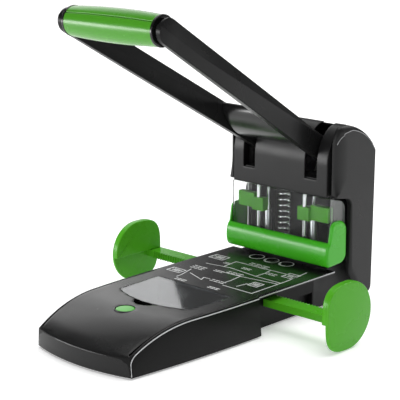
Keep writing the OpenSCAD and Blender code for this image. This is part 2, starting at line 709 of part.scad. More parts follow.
module return_spring() color("#d5d8db") translate([0, spring_y, 0]) polyhedron(
  points = [for (k = [0 : last_ring]) each ring_pts(k)],
  faces = concat(
    [for (k = [0 : last_ring - 1]) for (j = [0 : 5]) [6 * k + j, 6 * k + 6 + j, 6 * k + (j + 1) % 6]],
    [for (k = [0 : last_ring - 1]) for (j = [0 : 5])
      [6 * k + (j + 1) % 6, 6 * k + 6 + j, 6 * k + 6 + (j + 1) % 6]],
    [for (j = [1 : 4]) [0, j, j + 1]],
    [for (j = [1 : 4]) [6 * last_ring, 6 * last_ring + j + 1, 6 * last_ring + j]]));

module press_bar() color("#9a9da1") difference() {
  translate([-press_half, panel_y + 3, press_low]) cube([2 * press_half, pivot_y - panel_y - 7, press_t]);
  both_sides() translate([hole_pitch / 2, pin_y, press_low - 1]) cylinder(r = pin_r - 0.8, h = press_t - 3);
  both_sides() translate([hole_pitch / 2, post_y, press_low - 1])
    cylinder(r = post_top_r + run_fit, h = press_t + 2);
}

holder_z = panel_z - 37;

module holder_form() difference() {
  union() {
    translate([hole_pitch / 2 - 9.5, pin_y - 3.4, holder_z]) cube([19, 11, 18]);
    translate([hole_pitch / 2 + 9, pin_y + 1, holder_z + 1.5])
      cube([cheek_in - 7.5 - hole_pitch / 2 - 9, 9, 20]);
  }
  translate([hole_pitch / 2, pin_y, holder_z - 1]) cylinder(r = pin_r + 0.02, h = 30);
}

module right_pin_holder() color("#4f9a2c") holder_form();
module left_pin_holder() color("#4f9a2c") mirror([1, 0, 0]) holder_form();

module pin_form() translate([hole_pitch / 2, pin_y, 0]) difference() {
  union() {
    translate([0, 0, tip_z]) cylinder(r = pin_r, h = press_low - tip_z);
    translate([0, 0, tip_z + 5]) cylinder(r = pin_r - 0.82, h = press_low - tip_z + press_t - 10);
  }
  translate([-9, 0, tip_z - 0.9]) rotate([45, 0, 0]) cube([18, 1.8, 1.8]);
}

module right_punch_pin() color("#d5d8db") pin_form();
module left_punch_pin() color("#d5d8db") mirror([1, 0, 0]) pin_form();

// Lever pieces are drawn level, pointing to -Y from the pivot, then raised.
module lever_place() {
  translate([0, pivot_y, pivot_z]) rotate([-lever_angle, 0, 0]) children();
}

splay_y = 52;
splay = atan((arm_grip_x - arm_hub_x) / (lever_len - splay_y));
arm_run = (lever_len - splay_y) / cos(splay);
collar_out = arm_grip_x - arm_t / 2 / cos(splay) - (grip_end_r + 0.6) * tan(splay) - 0.2;

module arm_form() lever_place() difference() {
  union() {
    translate([arm_hub_x - 6.5, 0, 0]) rotate([0, 90, 0]) cylinder(r = 16, h = 13);
    translate([arm_hub_x - 6.5, -splay_y - 8, -arm_d / 2]) cube([13, splay_y + 8, arm_d]);
    translate([arm_hub_x, -splay_y, 0]) rotate([0, 0, splay]) rotate([90, 0, 0]) linear_extrude(arm_run)
      polygon([[-arm_t / 2, -arm_d / 2], [arm_t / 2, -arm_d / 2], [arm_t / 2, 1], [2.6, arm_d / 2],
        [-2.6, arm_d / 2], [-arm_t / 2, 1]]);
    translate([arm_grip_x - 5, -lever_len, 0]) rotate([0, 90, 0]) cylinder(r1 = arm_d / 2, r2 = grip_tube_r + 3, h = 10.5);
  }
  translate([0, 0, 0]) rotate([0, 90, 0]) cylinder(r = shaft_r + run_fit, h = 99);
  translate([0, -lever_len, 0]) rotate([0, 90, 0]) cylinder(r = grip_tube_r + 0.02, h = arm_grip_x + 2);
}

module right_arm() color("#3f4043") arm_form();
module left_arm() color("#3f4043") mirror([1, 0, 0]) arm_form();

web_y = 75.5;
web_z = web_r - 20.4;

module lever_web() color("#3f4043") lever_place() intersection() {
  union() {
    difference() {
      translate([-web_half, -web_y, web_z]) rotate([0, 90, 0])
        cylinder(r = web_r, h = 2 * web_half, $fn = 120);
      translate([-web_half - 1, -web_y, web_z]) rotate([0, 90, 0])
        cylinder(r = web_r - web_t, h = 2 * web_half + 2, $fn = 120);
    }
    translate([-web_half, -web_y - web_r + 1.8, arm_d / 2 - 4]) cube([2 * web_half, web_r + 13, 3.5]);
  }
  translate([-web_half, -web_y - web_r - 1, -60]) cube([2 * web_half, web_r + 15, 60 + arm_d / 2 - 0.5]);
  translate([0, 0, -90]) linear_extrude(180) polygon([for (q = [[-1, 60], [1, 60], [1, 125], [-1, 125]])
    [q[0] * (arm_hub_x + (q[1] - splay_y) * tan(splay) - arm_t / 2 / cos(splay) - 0.1), -q[1]]]);
}

function lobe(f) = let (p = cam_base + cam_c * f * PI / 180)
  [-p * sin(f) - cam_c * cos(f), -p * cos(f) + cam_c * sin(f)];

module cam_tube() color("#8a8d91") difference() {
  union() {
    translate([6.6 - arm_hub_x, pivot_y, pivot_z]) rotate([0, 90, 0])
      cylinder(r = shaft_r + 4, h = 2 * arm_hub_x - 13.2);
    both_sides() along_x(34 - cam_w, cam_w) translate([pivot_y, pivot_z])
      polygon(concat([[0, 0]], [for (k = [0 : 18]) lobe(-6 + k * (lever_sweep + 10) / 18)]));
  }
  translate([-60, pivot_y, pivot_z]) rotate([0, 90, 0]) cylinder(r = shaft_r + run_fit, h = 120);
}

module grip_place() lever_place() translate([0, -lever_len, 0]) rotate([0, 90, 0]) children();

module grip_tube() color("#8a8d91") grip_place() translate([0, 0, -arm_grip_x - 2])
  cylinder(r = grip_tube_r, h = 2 * arm_grip_x + 4);

module sleeve_form() grip_place() rotate_extrude($fn = 96) polygon(concat(
  [[grip_tube_r + 0.02, -grip_half]],
  [for (k = [-10 : 10]) [grip_mid_r - (grip_mid_r - grip_end_r) * k * k / 100, grip_half * k / 10]],
  [[grip_tube_r + 0.02, grip_half]]));

split_turn = 35;

module grip_front_shell() color("#58b032") intersection() {
  sleeve_form();
  grip_place() rotate([0, 0, split_turn]) translate([-40, -40.15, -100]) cube([80, 40, 200]);
}

module grip_rear_shell() color("#58b032") intersection() {
  sleeve_form();
  grip_place() rotate([0, 0, split_turn]) translate([-40, 0.15, -100]) cube([80, 40, 200]);
}

module collar_form() grip_place() translate([0, 0, grip_half + 0.1]) difference() {
  cylinder(r = grip_end_r + 0.6, h = collar_out - grip_half - 0.1);
  translate([0, 0, -1]) cylinder(r = grip_tube_r + 0.02, h = 20);
}

module right_collar() color("#18191a") collar_form();
module left_collar() color("#18191a") mirror([1, 0, 0]) collar_form();

base_tub();
rear_tub();
bottom_plate();
rubber_feet();
tray_top();
parts_bin();
lid_hinge_pin();
clear_lid();
release_button();
rack_carrier();
pinion_axle();
rack_pinion();
right_rack();
right_paddle();
left_rack();
left_paddle();
die_block();
die_plate();
paper_stop();
chip_drawer();
left_frame_plate();
right_frame_plate();
pivot_shaft();
pivot_bushes();
head_plate();
guide_posts();
guard();
shield();
front_panel();
rear_cover();
left_cheek();
right_cheek();
return_spring();
press_bar();
left_pin_holder();
right_pin_holder();
left_punch_pin();
right_punch_pin();
left_arm();
right_arm();
lever_web();
cam_tube();
grip_tube();
grip_front_shell();
grip_rear_shell();
left_collar();
right_collar();
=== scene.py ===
# %% [markdown]
# A heavy duty hole punch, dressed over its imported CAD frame. The frame gives every solid its
# place and its motion. This lesson adds the skins that the eye sees: soft edges, smooth curves,
# printed marks and finishes. Lengths of the part are millimetres until they go into a mesh. Only the
# camera and the studio are placed in metres.

# %% Load the frame
import math
import bpy
import bmesh
import numpy as np
from mathutils import Matrix
from mathutils.geometry import delaunay_2d_cdt


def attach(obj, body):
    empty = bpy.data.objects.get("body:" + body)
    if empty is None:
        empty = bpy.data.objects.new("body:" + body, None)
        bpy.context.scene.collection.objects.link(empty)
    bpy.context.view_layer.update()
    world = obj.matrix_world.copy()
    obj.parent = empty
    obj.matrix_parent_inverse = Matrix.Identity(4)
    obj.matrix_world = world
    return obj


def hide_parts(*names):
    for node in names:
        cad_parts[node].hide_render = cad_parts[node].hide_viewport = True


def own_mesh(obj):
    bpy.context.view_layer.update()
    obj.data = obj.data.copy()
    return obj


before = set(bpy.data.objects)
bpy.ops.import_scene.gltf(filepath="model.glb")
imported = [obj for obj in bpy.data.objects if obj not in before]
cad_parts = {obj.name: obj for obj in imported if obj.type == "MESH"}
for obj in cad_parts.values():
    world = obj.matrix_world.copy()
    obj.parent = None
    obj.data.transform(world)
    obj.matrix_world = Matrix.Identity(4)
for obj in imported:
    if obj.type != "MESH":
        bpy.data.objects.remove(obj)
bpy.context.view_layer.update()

# %% [markdown]
# The camera stands where the photograph was taken: in front, to the right and a little above.
# Its three axes are written as the columns of a matrix, which is exact, where a Track To
# constraint would only point the lens. The picture is square, so the sensor's width is enough.

# %% Camera
CAMERA_RIGHT = np.array([0.7272, 0.6864, 0.0])
CAMERA_BACK = np.array([0.6665, -0.7062, 0.2390])
CAMERA_PLACE = (1.1470, -1.2296, 0.5743)
LENS, SENSOR = 123.1, 36.0


def photo_camera(place, right, back, lens):
    """Camera whose columns are its right, up and back axes; up is back crossed with right."""
    data = bpy.data.cameras.new("photo_camera")
    data.sensor_fit = "HORIZONTAL"
    data.sensor_width = SENSOR
    data.lens = lens
    made = bpy.data.objects.new("photo_camera", data)
    axes = np.column_stack([right, np.cross(back, right), back, place])
    made.matrix_world = Matrix(axes.tolist() + [[0, 0, 0, 1]])
    bpy.context.scene.collection.objects.link(made)
    bpy.context.scene.camera = made


photo_camera(CAMERA_PLACE, CAMERA_RIGHT, CAMERA_BACK, LENS)
print("camera at", CAMERA_PLACE)

# %% [markdown]
# Almost every shell of this punch is a moulding: a flat or curved outline with soft edges. So the
# first tools turn an outline into a solid with rounded rims. Working on whole arrays keeps each
# tool short, and one function then puts any array of points into Blender as a finished piece.

# %% Outlines and rings
MM = 0.001
FLIP = np.array([-1.0, 1.0])


def unit(v):
    """Vectors divided by their length."""
    return v / np.maximum(np.linalg.norm(v, axis=-1, keepdims=True), 1e-12)


def soft_outline(rows, steps=8):
    """Closed outline from rows of (a, b, radius): an arc of that radius in each corner.

    The arc's centre lies on the corner's bisector at radius / sin(half angle), and its points
    swing from one tangent point to the other by spherical interpolation."""
    rows = np.asarray(rows, float)
    spot, radius = rows[:, :2], rows[:, 2:]
    back, ahead = unit(np.roll(spot, 1, 0) - spot), unit(np.roll(spot, -1, 0) - spot)
    half = np.arccos(np.clip((back * ahead).sum(1, keepdims=True), -1, 1)) / 2
    centre = spot + unit(back + ahead) * radius / np.sin(half)
    start = (spot + back * radius / np.tan(half) - centre)[:, None]
    end = (spot + ahead * radius / np.tan(half) - centre)[:, None]
    swing = (np.pi - 2 * half)[:, None]
    k = np.linspace(0, 1, steps + 1)[None, :, None]
    arc = (start * np.sin((1 - k) * swing) + end * np.sin(k * swing)) / np.sin(swing)
    return (centre[:, None] + arc).reshape(-1, 2)


def area(outline):
    """Signed area by the shoelace sum, positive for an outline that runs anticlockwise."""
    a, b = outline[:, 0], outline[:, 1]
    return 0.5 * np.sum(a * np.roll(b, -1) - np.roll(a, -1) * b)


def inset(outline, depth):
    """Closed outline moved inwards by depth along the mean normal of its two edges."""
    edge = unit(np.roll(outline, -1, 0) - outline)
    run = unit(edge + np.roll(edge, 1, 0))
    return outline + np.sign(area(outline)) * depth * np.stack([-run[:, 1], run[:, 0]], 1)


def bezier(first, control, last, count):
    """Quadratic Bezier curve: shares (1 - k)^2, 2k(1 - k) and k^2 of its three points."""
    k = np.linspace(0, 1, count)[:, None]
    return (1 - k) ** 2 * first + 2 * k * (1 - k) * control + k ** 2 * last


def arc_points(centre, radius, start, stop, count):
    """Points on a circle, or on an ellipse of two radii, from one angle to another."""
    a = np.linspace(start, stop, count)[:, None]
    return np.asarray(centre) + radius * np.concatenate([np.cos(a), np.sin(a)], 1)


def ring_faces(rings, count, capped=True):
    """Four-sided faces between stacked closed rings, and one face on each end where capped."""
    i = np.arange(rings - 1)[:, None] * count
    j = np.arange(count)[None, :]
    n = (j + 1) % count
    quads = np.stack([i + j, i + n, i + count + n, i + count + j], -1).reshape(-1, 4).tolist()
    ends = [list(range(count))[::-1], list(range((rings - 1) * count, rings * count))]
    return quads + (ends if capped else [])


def sheet_faces(rows, cols):
    """Four-sided faces of an open grid."""
    i = np.arange(rows - 1)[:, None] * cols
    j = np.arange(cols - 1)[None, :]
    return np.stack([i + j, i + j + 1, i + cols + j + 1, i + cols + j], -1).reshape(-1, 4).tolist()


def plate(outline, low, high, soft_low=1.0, soft_high=1.0, plane="yz", steps=5, rise=None, flat=0.5):
    """Outline carried from low to high with quarter-round rims at both ends.

    On a rim of radius r the outline moves in by r(1 - cos t) while it rises by r sin t. The upper
    rim may have its own depth and rise at each point. A narrow flat ring inside each rim keeps the
    end face level, so that it mirrors like a plane."""
    t = np.linspace(0, np.pi / 2, steps)
    rise = soft_high if rise is None else rise
    depth = [soft_low + flat] + [soft_low * (1 - s) for s in np.sin(t)]
    depth += [soft_high * (1 - c) for c in np.cos(t)] + [soft_high + flat]
    level = [low] + [low + soft_low * (1 - c) for c in np.cos(t)]
    level += [high - rise * (1 - s) for s in np.sin(t)] + [high]
    rings = np.stack([inset(outline, d) for d in depth])
    third = np.stack([np.broadcast_to(z, (len(outline), 1)) for z in level])
    stack = np.concatenate([third, rings] if plane == "yz" else [rings, third], -1)
    return stack.reshape(-1, 3), ring_faces(len(level), len(outline))


def tube(path, out, radius, sides=12):
    """Circle carried along a path; one axis of the circle points along out."""
    run = unit(np.gradient(path, axis=0))
    up = unit(np.cross(run, out))
    t = np.linspace(0, 2 * np.pi, sides, endpoint=False)[None, :, None]
    rings = path[:, None] + radius * (np.cos(t) * out[:, None] + np.sin(t) * up[:, None])
    return rings.reshape(-1, 3), ring_faces(len(path), sides)


def joined(*solids):
    """Several (points, faces) pairs as one pair."""
    starts = np.cumsum([0] + [len(s[0]) for s in solids])
    points = np.concatenate([s[0] for s in solids])
    faces = [[v + int(a) for v in f] for s, a in zip(solids, starts) for f in s[1]]
    return points, faces


def mirrored(solid):
    """The same solid on the other side of the middle plane."""
    return solid[0] * np.array([-1.0, 1.0, 1.0]), [f[::-1] for f in solid[1]]


print("outline tools ready")

# %% [markdown]
# A piece is a mesh object that rides on a body of the frame and names the slot of its finish.
# Closed solids have their faces turned outwards by Blender. An open sheet is turned by the
# direction that its visible side should face, because it has no inside to compare with.

# %% Pieces


def piece(name, solid, finish, body, stands_for=(), facing=None, crease=32):
    """Mesh object from (points, faces): welded, turned outwards, smooth with sharp creases."""
    points, faces = solid
    mesh = bpy.data.meshes.new(name)
    mesh.from_pydata((np.asarray(points).reshape(-1, 3) * MM).tolist(), [], faces)
    work = bmesh.new()
    work.from_mesh(mesh)
    bmesh.ops.remove_doubles(work, verts=work.verts, dist=1e-6)
    if facing is None:
        bmesh.ops.recalc_face_normals(work, faces=work.faces)
    elif sum(f.normal.dot(facing) * f.calc_area() for f in work.faces) < 0:
        bmesh.ops.reverse_faces(work, faces=work.faces)
    work.to_mesh(mesh)
    work.free()
    mesh.shade_smooth()
    mesh.set_sharp_from_angle(angle=math.radians(crease))
    made = bpy.data.objects.new(name, mesh)
    bpy.context.scene.collection.objects.link(made)
    mesh.materials.append(finish)
    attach(made, body)
    if stands_for:
        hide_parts(*stands_for)
    print(name, "has", len(mesh.polygons), "faces")
    return made


def both_sides(stem, solid, finish, body, crease=32):
    """Skin of a right-hand CAD node and, mirrored, of its twin on the left."""
    for side, shape in (("right", solid), ("left", mirrored(solid))):
        node = side + "_" + stem
        piece(node + "_skin", shape, finish, body, (node,), crease=crease)


def thicken(made, depth, soft=0.0):
    """Wall of that depth behind the sheet, with a small bevel on its sharp edges."""
    wall = made.modifiers.new("wall", "SOLIDIFY")
    wall.thickness = depth * MM
    wall.offset = -1
    if soft:
        rim = made.modifiers.new("rim", "BEVEL")
        rim.width = soft * MM
        rim.segments = 3
        rim.limit_method = "ANGLE"
        rim.angle_limit = math.radians(40)
        rim.harden_normals = False


print("piece tools ready")

# %% [markdown]
# The finishes share two effects. A moulded skin has a fine spark-eroded grain, a gloss that is a
# little uneven, and a tone that drifts over the part. Ground steel has fine lines along one
# direction. Each effect is a node group with its own inputs, so every material sets its own scale.

# %% Shared effects


def group_with(name, inputs, outputs):
    """Empty shader group with named sockets."""
    group = bpy.data.node_groups.new(name, "ShaderNodeTree")
    for label, kind, start in inputs:
        socket = group.interface.new_socket(name=label, in_out="INPUT", socket_type=kind)
        socket.default_value = start
    for label, kind in outputs:
        group.interface.new_socket(name=label, in_out="OUTPUT", socket_type=kind)
    entry = group.nodes.new("NodeGroupInput")
    leave = group.nodes.new("NodeGroupOutput")
    return group, entry, leave


def noise(group, scale, detail, vector):
    """Noise texture read at a vector."""
    made = group.nodes.new("ShaderNodeTexNoise")
    made.inputs["Scale"].default_value = scale
    made.inputs["Detail"].default_value = detail
    group.links.new(vector, made.inputs["Vector"])
    return made


def between(group, factor, low, high):
    """Value from low to high as the factor goes over its middle range."""
    made = group.nodes.new("ShaderNodeMapRange")
    made.inputs["From Min"].default_value = 0.3
    made.inputs["From Max"].default_value = 0.7
    group.links.new(factor, made.inputs["Value"])
    group.links.new(low, made.inputs["To Min"])
    group.links.new(high, made.inputs["To Max"])
    return made.outputs["Result"]


def tone_mix(group, factor, first, second):
    """Colour between two tones."""
    made = group.nodes.new("ShaderNodeMix")
    made.data_type = "RGBA"
    group.links.new(factor, made.inputs["Factor"])
    group.links.new(first, made.inputs["A"])
    group.links.new(second, made.inputs["B"])
    return made.outputs["Result"]


def bump(group, height, strength, depth):
    """Normal bent by a height."""
    made = group.nodes.new("ShaderNodeBump")
    made.inputs["Distance"].default_value = depth
    group.links.new(strength, made.inputs["Strength"])
    group.links.new(height, made.inputs["Height"])
    return made.outputs["Normal"]


SKIN_INPUTS = (("Deep tone", "NodeSocketColor", (0.02, 0.02, 0.02, 1)),
               ("Pale tone", "NodeSocketColor", (0.03, 0.03, 0.03, 1)),
               ("Smooth", "NodeSocketFloat", 0.3), ("Dull", "NodeSocketFloat", 0.5),
               ("Grain size", "NodeSocketFloat", 900.0), ("Grain depth", "NodeSocketFloat", 0.1))
SKIN_OUTPUTS = (("Tone", "NodeSocketColor"), ("Roughness", "NodeSocketFloat"),
                ("Normal", "NodeSocketVector"))
GRAIN_RISE, LINE_RISE = 0.0004, 0.0002


def moulded_group():
    """Moulded skin: drifting tone, uneven gloss and a fine grain from three noises."""
    group, entry, leave = group_with("moulded_skin", SKIN_INPUTS, SKIN_OUTPUTS)
    place = group.nodes.new("ShaderNodeTexCoord").outputs["Object"]
    drift = noise(group, 7.0, 3.0, place)
    gloss = noise(group, 26.0, 4.0, place)
    grain = noise(group, 900.0, 2.0, place)
    group.links.new(entry.outputs["Grain size"], grain.inputs["Scale"])
    tone = tone_mix(group, drift.outputs["Fac"], entry.outputs["Deep tone"], entry.outputs["Pale tone"])
    group.links.new(tone, leave.inputs["Tone"])
    rough = between(group, gloss.outputs["Fac"], entry.outputs["Smooth"], entry.outputs["Dull"])
    group.links.new(rough, leave.inputs["Roughness"])
    bent = bump(group, grain.outputs["Fac"], entry.outputs["Grain depth"], GRAIN_RISE)
    group.links.new(bent, leave.inputs["Normal"])
    return group


def ground_group():
    """Ground metal: a noise stretched along X gives fine lines in tone, gloss and height."""
    group, entry, leave = group_with("ground_metal", SKIN_INPUTS, SKIN_OUTPUTS)
    place = group.nodes.new("ShaderNodeTexCoord").outputs["Object"]
    stretch = group.nodes.new("ShaderNodeMapping")
    stretch.inputs["Scale"].default_value = (0.06, 1.0, 1.0)
    group.links.new(place, stretch.inputs["Vector"])
    lines = noise(group, 900.0, 3.0, stretch.outputs["Vector"])
    group.links.new(entry.outputs["Grain size"], lines.inputs["Scale"])
    tone = tone_mix(group, lines.outputs["Fac"], entry.outputs["Deep tone"], entry.outputs["Pale tone"])
    group.links.new(tone, leave.inputs["Tone"])
    rough = between(group, lines.outputs["Fac"], entry.outputs["Smooth"], entry.outputs["Dull"])
    group.links.new(rough, leave.inputs["Roughness"])
    bent = bump(group, lines.outputs["Fac"], entry.outputs["Grain depth"], LINE_RISE)
    group.links.new(bent, leave.inputs["Normal"])
    return group


MOULDED, GROUND = moulded_group(), ground_group()
print("two shared effects ready")

# %% [markdown]
# Each finish places an effect in a material of its own and gives it real values: a near black
# grained base, a satin grey tray, anthracite shells, glossy green mouldings, polished steel and
# clear plastic. The shader stays in the material.

# %% Finishes


def finish(name, effect, deep, pale, smooth, dull, grain, depth, fixed=()):
    """Material: one effect group feeding colour, roughness and normal of a Principled shader."""
    made = bpy.data.materials.new(name)
    made.use_nodes = True
    tree = made.node_tree
    shader = tree.nodes["Principled BSDF"]
    skin = tree.nodes.new("ShaderNodeGroup")
    skin.node_tree = effect
    values = {"Deep tone": (*deep, 1), "Pale tone": (*pale, 1), "Smooth": smooth, "Dull": dull,
              "Grain size": grain, "Grain depth": depth}
    for label, value in values.items():
        skin.inputs[label].default_value = value
    tree.links.new(skin.outputs["Tone"], shader.inputs["Base Color"])
    tree.links.new(skin.outputs["Roughness"], shader.inputs["Roughness"])
    tree.links.new(skin.outputs["Normal"], shader.inputs["Normal"])
    for label, value in dict(fixed).items():
        shader.inputs[label].default_value = value
    made.diffuse_color = (*pale, 1)
    return made


def grey(v):
    """Neutral tone, a touch cool."""
    return (v * 0.99, v, v * 1.02)


SPEC, COAT, METAL = "Specular IOR Level", "Coat Weight", "Metallic"
base_black = finish("base_black", MOULDED, grey(0.003), grey(0.005), 0.28, 0.40, 1500, 0.16, {SPEC: 0.12})
tray_grey = finish("tray_grey", MOULDED, grey(0.006), grey(0.009), 0.20, 0.28, 1900, 0.06, {SPEC: 0.25})
shell_grey = finish("shell_grey", MOULDED, grey(0.008), grey(0.012), 0.27, 0.37, 1700, 0.10, {SPEC: 0.25})
arm_grey = finish("arm_grey", MOULDED, grey(0.006), grey(0.010), 0.25, 0.35, 1700, 0.08, {SPEC: 0.14})
web_grey = finish("web_grey", MOULDED, grey(0.006), grey(0.010), 0.16, 0.24, 1700, 0.08, {SPEC: 0.5})
collar_black = finish("collar_black", MOULDED, grey(0.004), grey(0.006), 0.12, 0.20, 900, 0.03, {SPEC: 0.5})
bright_steel = finish("bright_steel", GROUND, (0.62, 0.63, 0.65), (0.80, 0.81, 0.83), 0.10, 0.20, 1400, 0.05,
                      {METAL: 1.0})
plain_steel = finish("plain_steel", GROUND, (0.32, 0.33, 0.34), (0.48, 0.49, 0.51), 0.28, 0.42, 1600, 0.18,
                     {METAL: 1.0})
dark_steel = finish("dark_steel", GROUND, grey(0.010), grey(0.022), 0.40, 0.55, 1300, 0.2,
                    {METAL: 0.0, SPEC: 0.35})
cast_block = finish("cast_block", MOULDED, grey(0.010), grey(0.018), 0.45, 0.62, 700, 0.5, {SPEC: 0.35})
bush_brass = finish("bush_brass", GROUND, (0.42, 0.30, 0.10), (0.60, 0.45, 0.18), 0.25, 0.38, 1500, 0.12,
                    {METAL: 1.0})
gear_plastic = finish("gear_plastic", MOULDED, (0.52, 0.50, 0.44), (0.62, 0.60, 0.54), 0.35, 0.5, 1100, 0.1)
foot_rubber = finish("foot_rubber", MOULDED, grey(0.008), grey(0.014), 0.7, 0.9, 800, 0.4, {SPEC: 0.2})
print_white = finish("print_white", MOULDED, (0.80, 0.81, 0.81), (0.90, 0.91, 0.91), 0.45, 0.6, 900, 0.03)
# Light grey for the painted highlight line along the cheeks' crest.
crest_highlight_grey = finish("crest_highlight_grey", MOULDED, grey(0.22), grey(0.30), 0.22, 0.32, 1200, 0.05, {SPEC: 0.5})
# Pale silver for the painted highlight lines along the base and tray edges.
painted_rim_highlight = finish("painted_rim_highlight", GROUND, grey(0.42), grey(0.56), 0.25, 0.4, 1200, 0.05, {METAL: 0.5})


def green_finish(name, deep, pale, smooth, spec, coat):
    """Dyed plastic under a thin clear coat, with a gloss that varies by 0.08."""
    fixed = {SPEC: spec, COAT: coat, "Coat Roughness": 0.10}
    return finish(name, MOULDED, deep, pale, smooth, smooth + 0.08, 1100, 0.05, fixed)


green = green_finish("green_plastic", (0.040, 0.37, 0.010), (0.054, 0.45, 0.015), 0.22, 0.32, 0.08)
guide_green = green_finish("guide_green", (0.064, 0.325, 0.012), (0.076, 0.365, 0.016), 0.24, 0.18, 0.05)
# The grip's green is the darkest: partly its own olive tone, partly painted shade against the strong light
# from above on the grip.
grip_green_and_shade = green_finish("grip_green_and_shade", (0.048, 0.24, 0.009), (0.058, 0.28, 0.012), 0.22, 0.34, 0.08)


def clear_finish(name, tint, haze, ior, clear=1.0):
    """Clear plastic: transmission is a plain number, a faint haze varies the roughness."""
    return finish(name, MOULDED, tint, tint, haze, haze + 0.04, 600, 0.01,
                  {"Transmission Weight": clear, "IOR": ior})


clear_plastic = clear_finish("clear_plastic", (0.95, 0.97, 0.96), 0.02, 1.2, 0.992)
pane_plastic = clear_finish("pane_plastic", (0.90, 0.93, 0.91), 0.06, 1.35, 0.925)
lid_plastic = clear_finish("lid_plastic", (0.55, 0.58, 0.60), 0.02, 1.46)
print(len(bpy.data.materials), "materials")

# %% [markdown]
# The base is a tub with gently bowed sides that lean inwards, a bowed nose and a top that rolls
# down to a low lip. Its edge is one curve in plan, and the wall is a small profile carried along
# it. A sweep gives a clean highlight all round, which a bevelled boolean would break up.

# %% Base edge in plan
TRAY_Z, FOOT_Z = 52.0, 2.5
NOSE_Y, STEP_Y = -228.0, -3.5
HALF_BASE, HALF_NOSE, LEAN = 95.2, 82.4, 5.2
SIDE_R, NOSE_R, CROWN_LEN, CROWN_R = 1753.8, 267.64, 88.0, 156.9
NOSE_CY = NOSE_Y + NOSE_R


def crown(x, y):
    """Height of the tray: level, then a round of radius CROWN_R over the last CROWN_LEN to the nose."""
    far = np.clip(np.hypot(x, y - NOSE_CY) - (NOSE_R - CROWN_LEN), 0, CROWN_LEN + 3)
    return TRAY_Z - CROWN_R + np.sqrt(CROWN_R ** 2 - far ** 2)


def base_edge(corner=4.0):
    """Edge at the floor from the right step round the nose to the left step.

    The sides are arcs of SIDE_R, the nose an arc of NOSE_R, and the corner between them is a
    quadratic Bezier curve with its control point on the sharp corner."""
    corner_y = NOSE_CY - math.sqrt(NOSE_R ** 2 - HALF_NOSE ** 2)
    y = np.linspace(STEP_Y, corner_y + corner, 40)
    side = np.stack([HALF_BASE - SIDE_R + np.sqrt(SIDE_R ** 2 - (y - STEP_Y) ** 2), y], 1)
    x = np.linspace(HALF_NOSE - corner, 0, 30)
    nose = np.stack([x, NOSE_CY - np.sqrt(NOSE_R ** 2 - x ** 2)], 1)
    bend = bezier(side[-1], np.array([HALF_NOSE, corner_y]), nose[0], 9)
    right = np.concatenate([side, bend[1:-1], nose])
    return np.concatenate([right, right[-2::-1] * FLIP])


EDGE = base_edge()


def edge_at(depth, z):
    """Edge moved in by depth and leaning in with height z."""
    run = unit(np.gradient(EDGE, axis=0))
    moved = EDGE + depth * np.stack([run[:, 1], -run[:, 0]], 1)
    lean = LEAN * z / TRAY_Z * np.minimum(1, np.abs(EDGE[:, 0]) / HALF_NOSE)
    return np.stack([moved[:, 0] - np.sign(moved[:, 0]) * lean, moved[:, 1]], 1)


SIDE_RIGHT, NOSE, SIDE_LEFT = slice(0, 44), slice(43, 110), slice(109, None)
print("edge of", len(EDGE), "points, widest at", round(float(EDGE[:, 0].max()), 1))

# %% [markdown]
# The wall is a short profile: a soft foot, an upright face and a round rim that turns over to the
# tray. Each of its points becomes a ring along the edge. An extruded outline would do for upright
# sides, but these lean, so every ring is placed at its own depth and height.

# %% Wall of the base


def wall_ring(depth, below_top, from_floor=None):
    """One ring of the wall: at a depth, and below the tray's own height or above the floor."""
    top = crown(*edge_at(depth, TRAY_Z).T)
    z = top - below_top if from_floor is None else np.full(len(EDGE), from_floor)
    return np.column_stack([edge_at(depth, z), z])


def sweep(rings):
    """Open grid over a list of rings of equal length."""
    stack = np.stack(rings)
    return stack.reshape(-1, 3), sheet_faces(len(rings), stack.shape[1])


PROUD, RIM_R, RIM_RISE = 0.25, 1.4, 0.15
turn = np.linspace(0, np.pi / 2, 6)
wall = [wall_ring(0.8, 0, FOOT_Z + 0.2), wall_ring(-PROUD, 0, FOOT_Z + 1.4), wall_ring(-PROUD, RIM_R + 8),
        wall_ring(-PROUD, RIM_R - RIM_RISE)]
wall += [wall_ring(-PROUD + RIM_R * (1 - math.cos(a)), RIM_R * (1 - math.sin(a)) - RIM_RISE) for a in turn]
wall += [wall_ring(2.3, -RIM_RISE), wall_ring(2.5, 0.1), wall_ring(2.55, 1.5)]
sides = joined(sweep([ring[SIDE_RIGHT] for ring in wall]), sweep([ring[SIDE_LEFT] for ring in wall]))
piece("base_wall", sides, base_black, "frame", facing=(0, 0, 1), crease=60)

# %% [markdown]
# A thin silver line runs along the top edge of the base, turns down at each nose corner and goes on
# along the rear of the tray. It is a painted highlight: a pale silver bead stands for the light that a
# crisp edge catches. It could be drawn in the material, but a fine bead stays crisp from close by.

# %% Painted highlight lines of the base


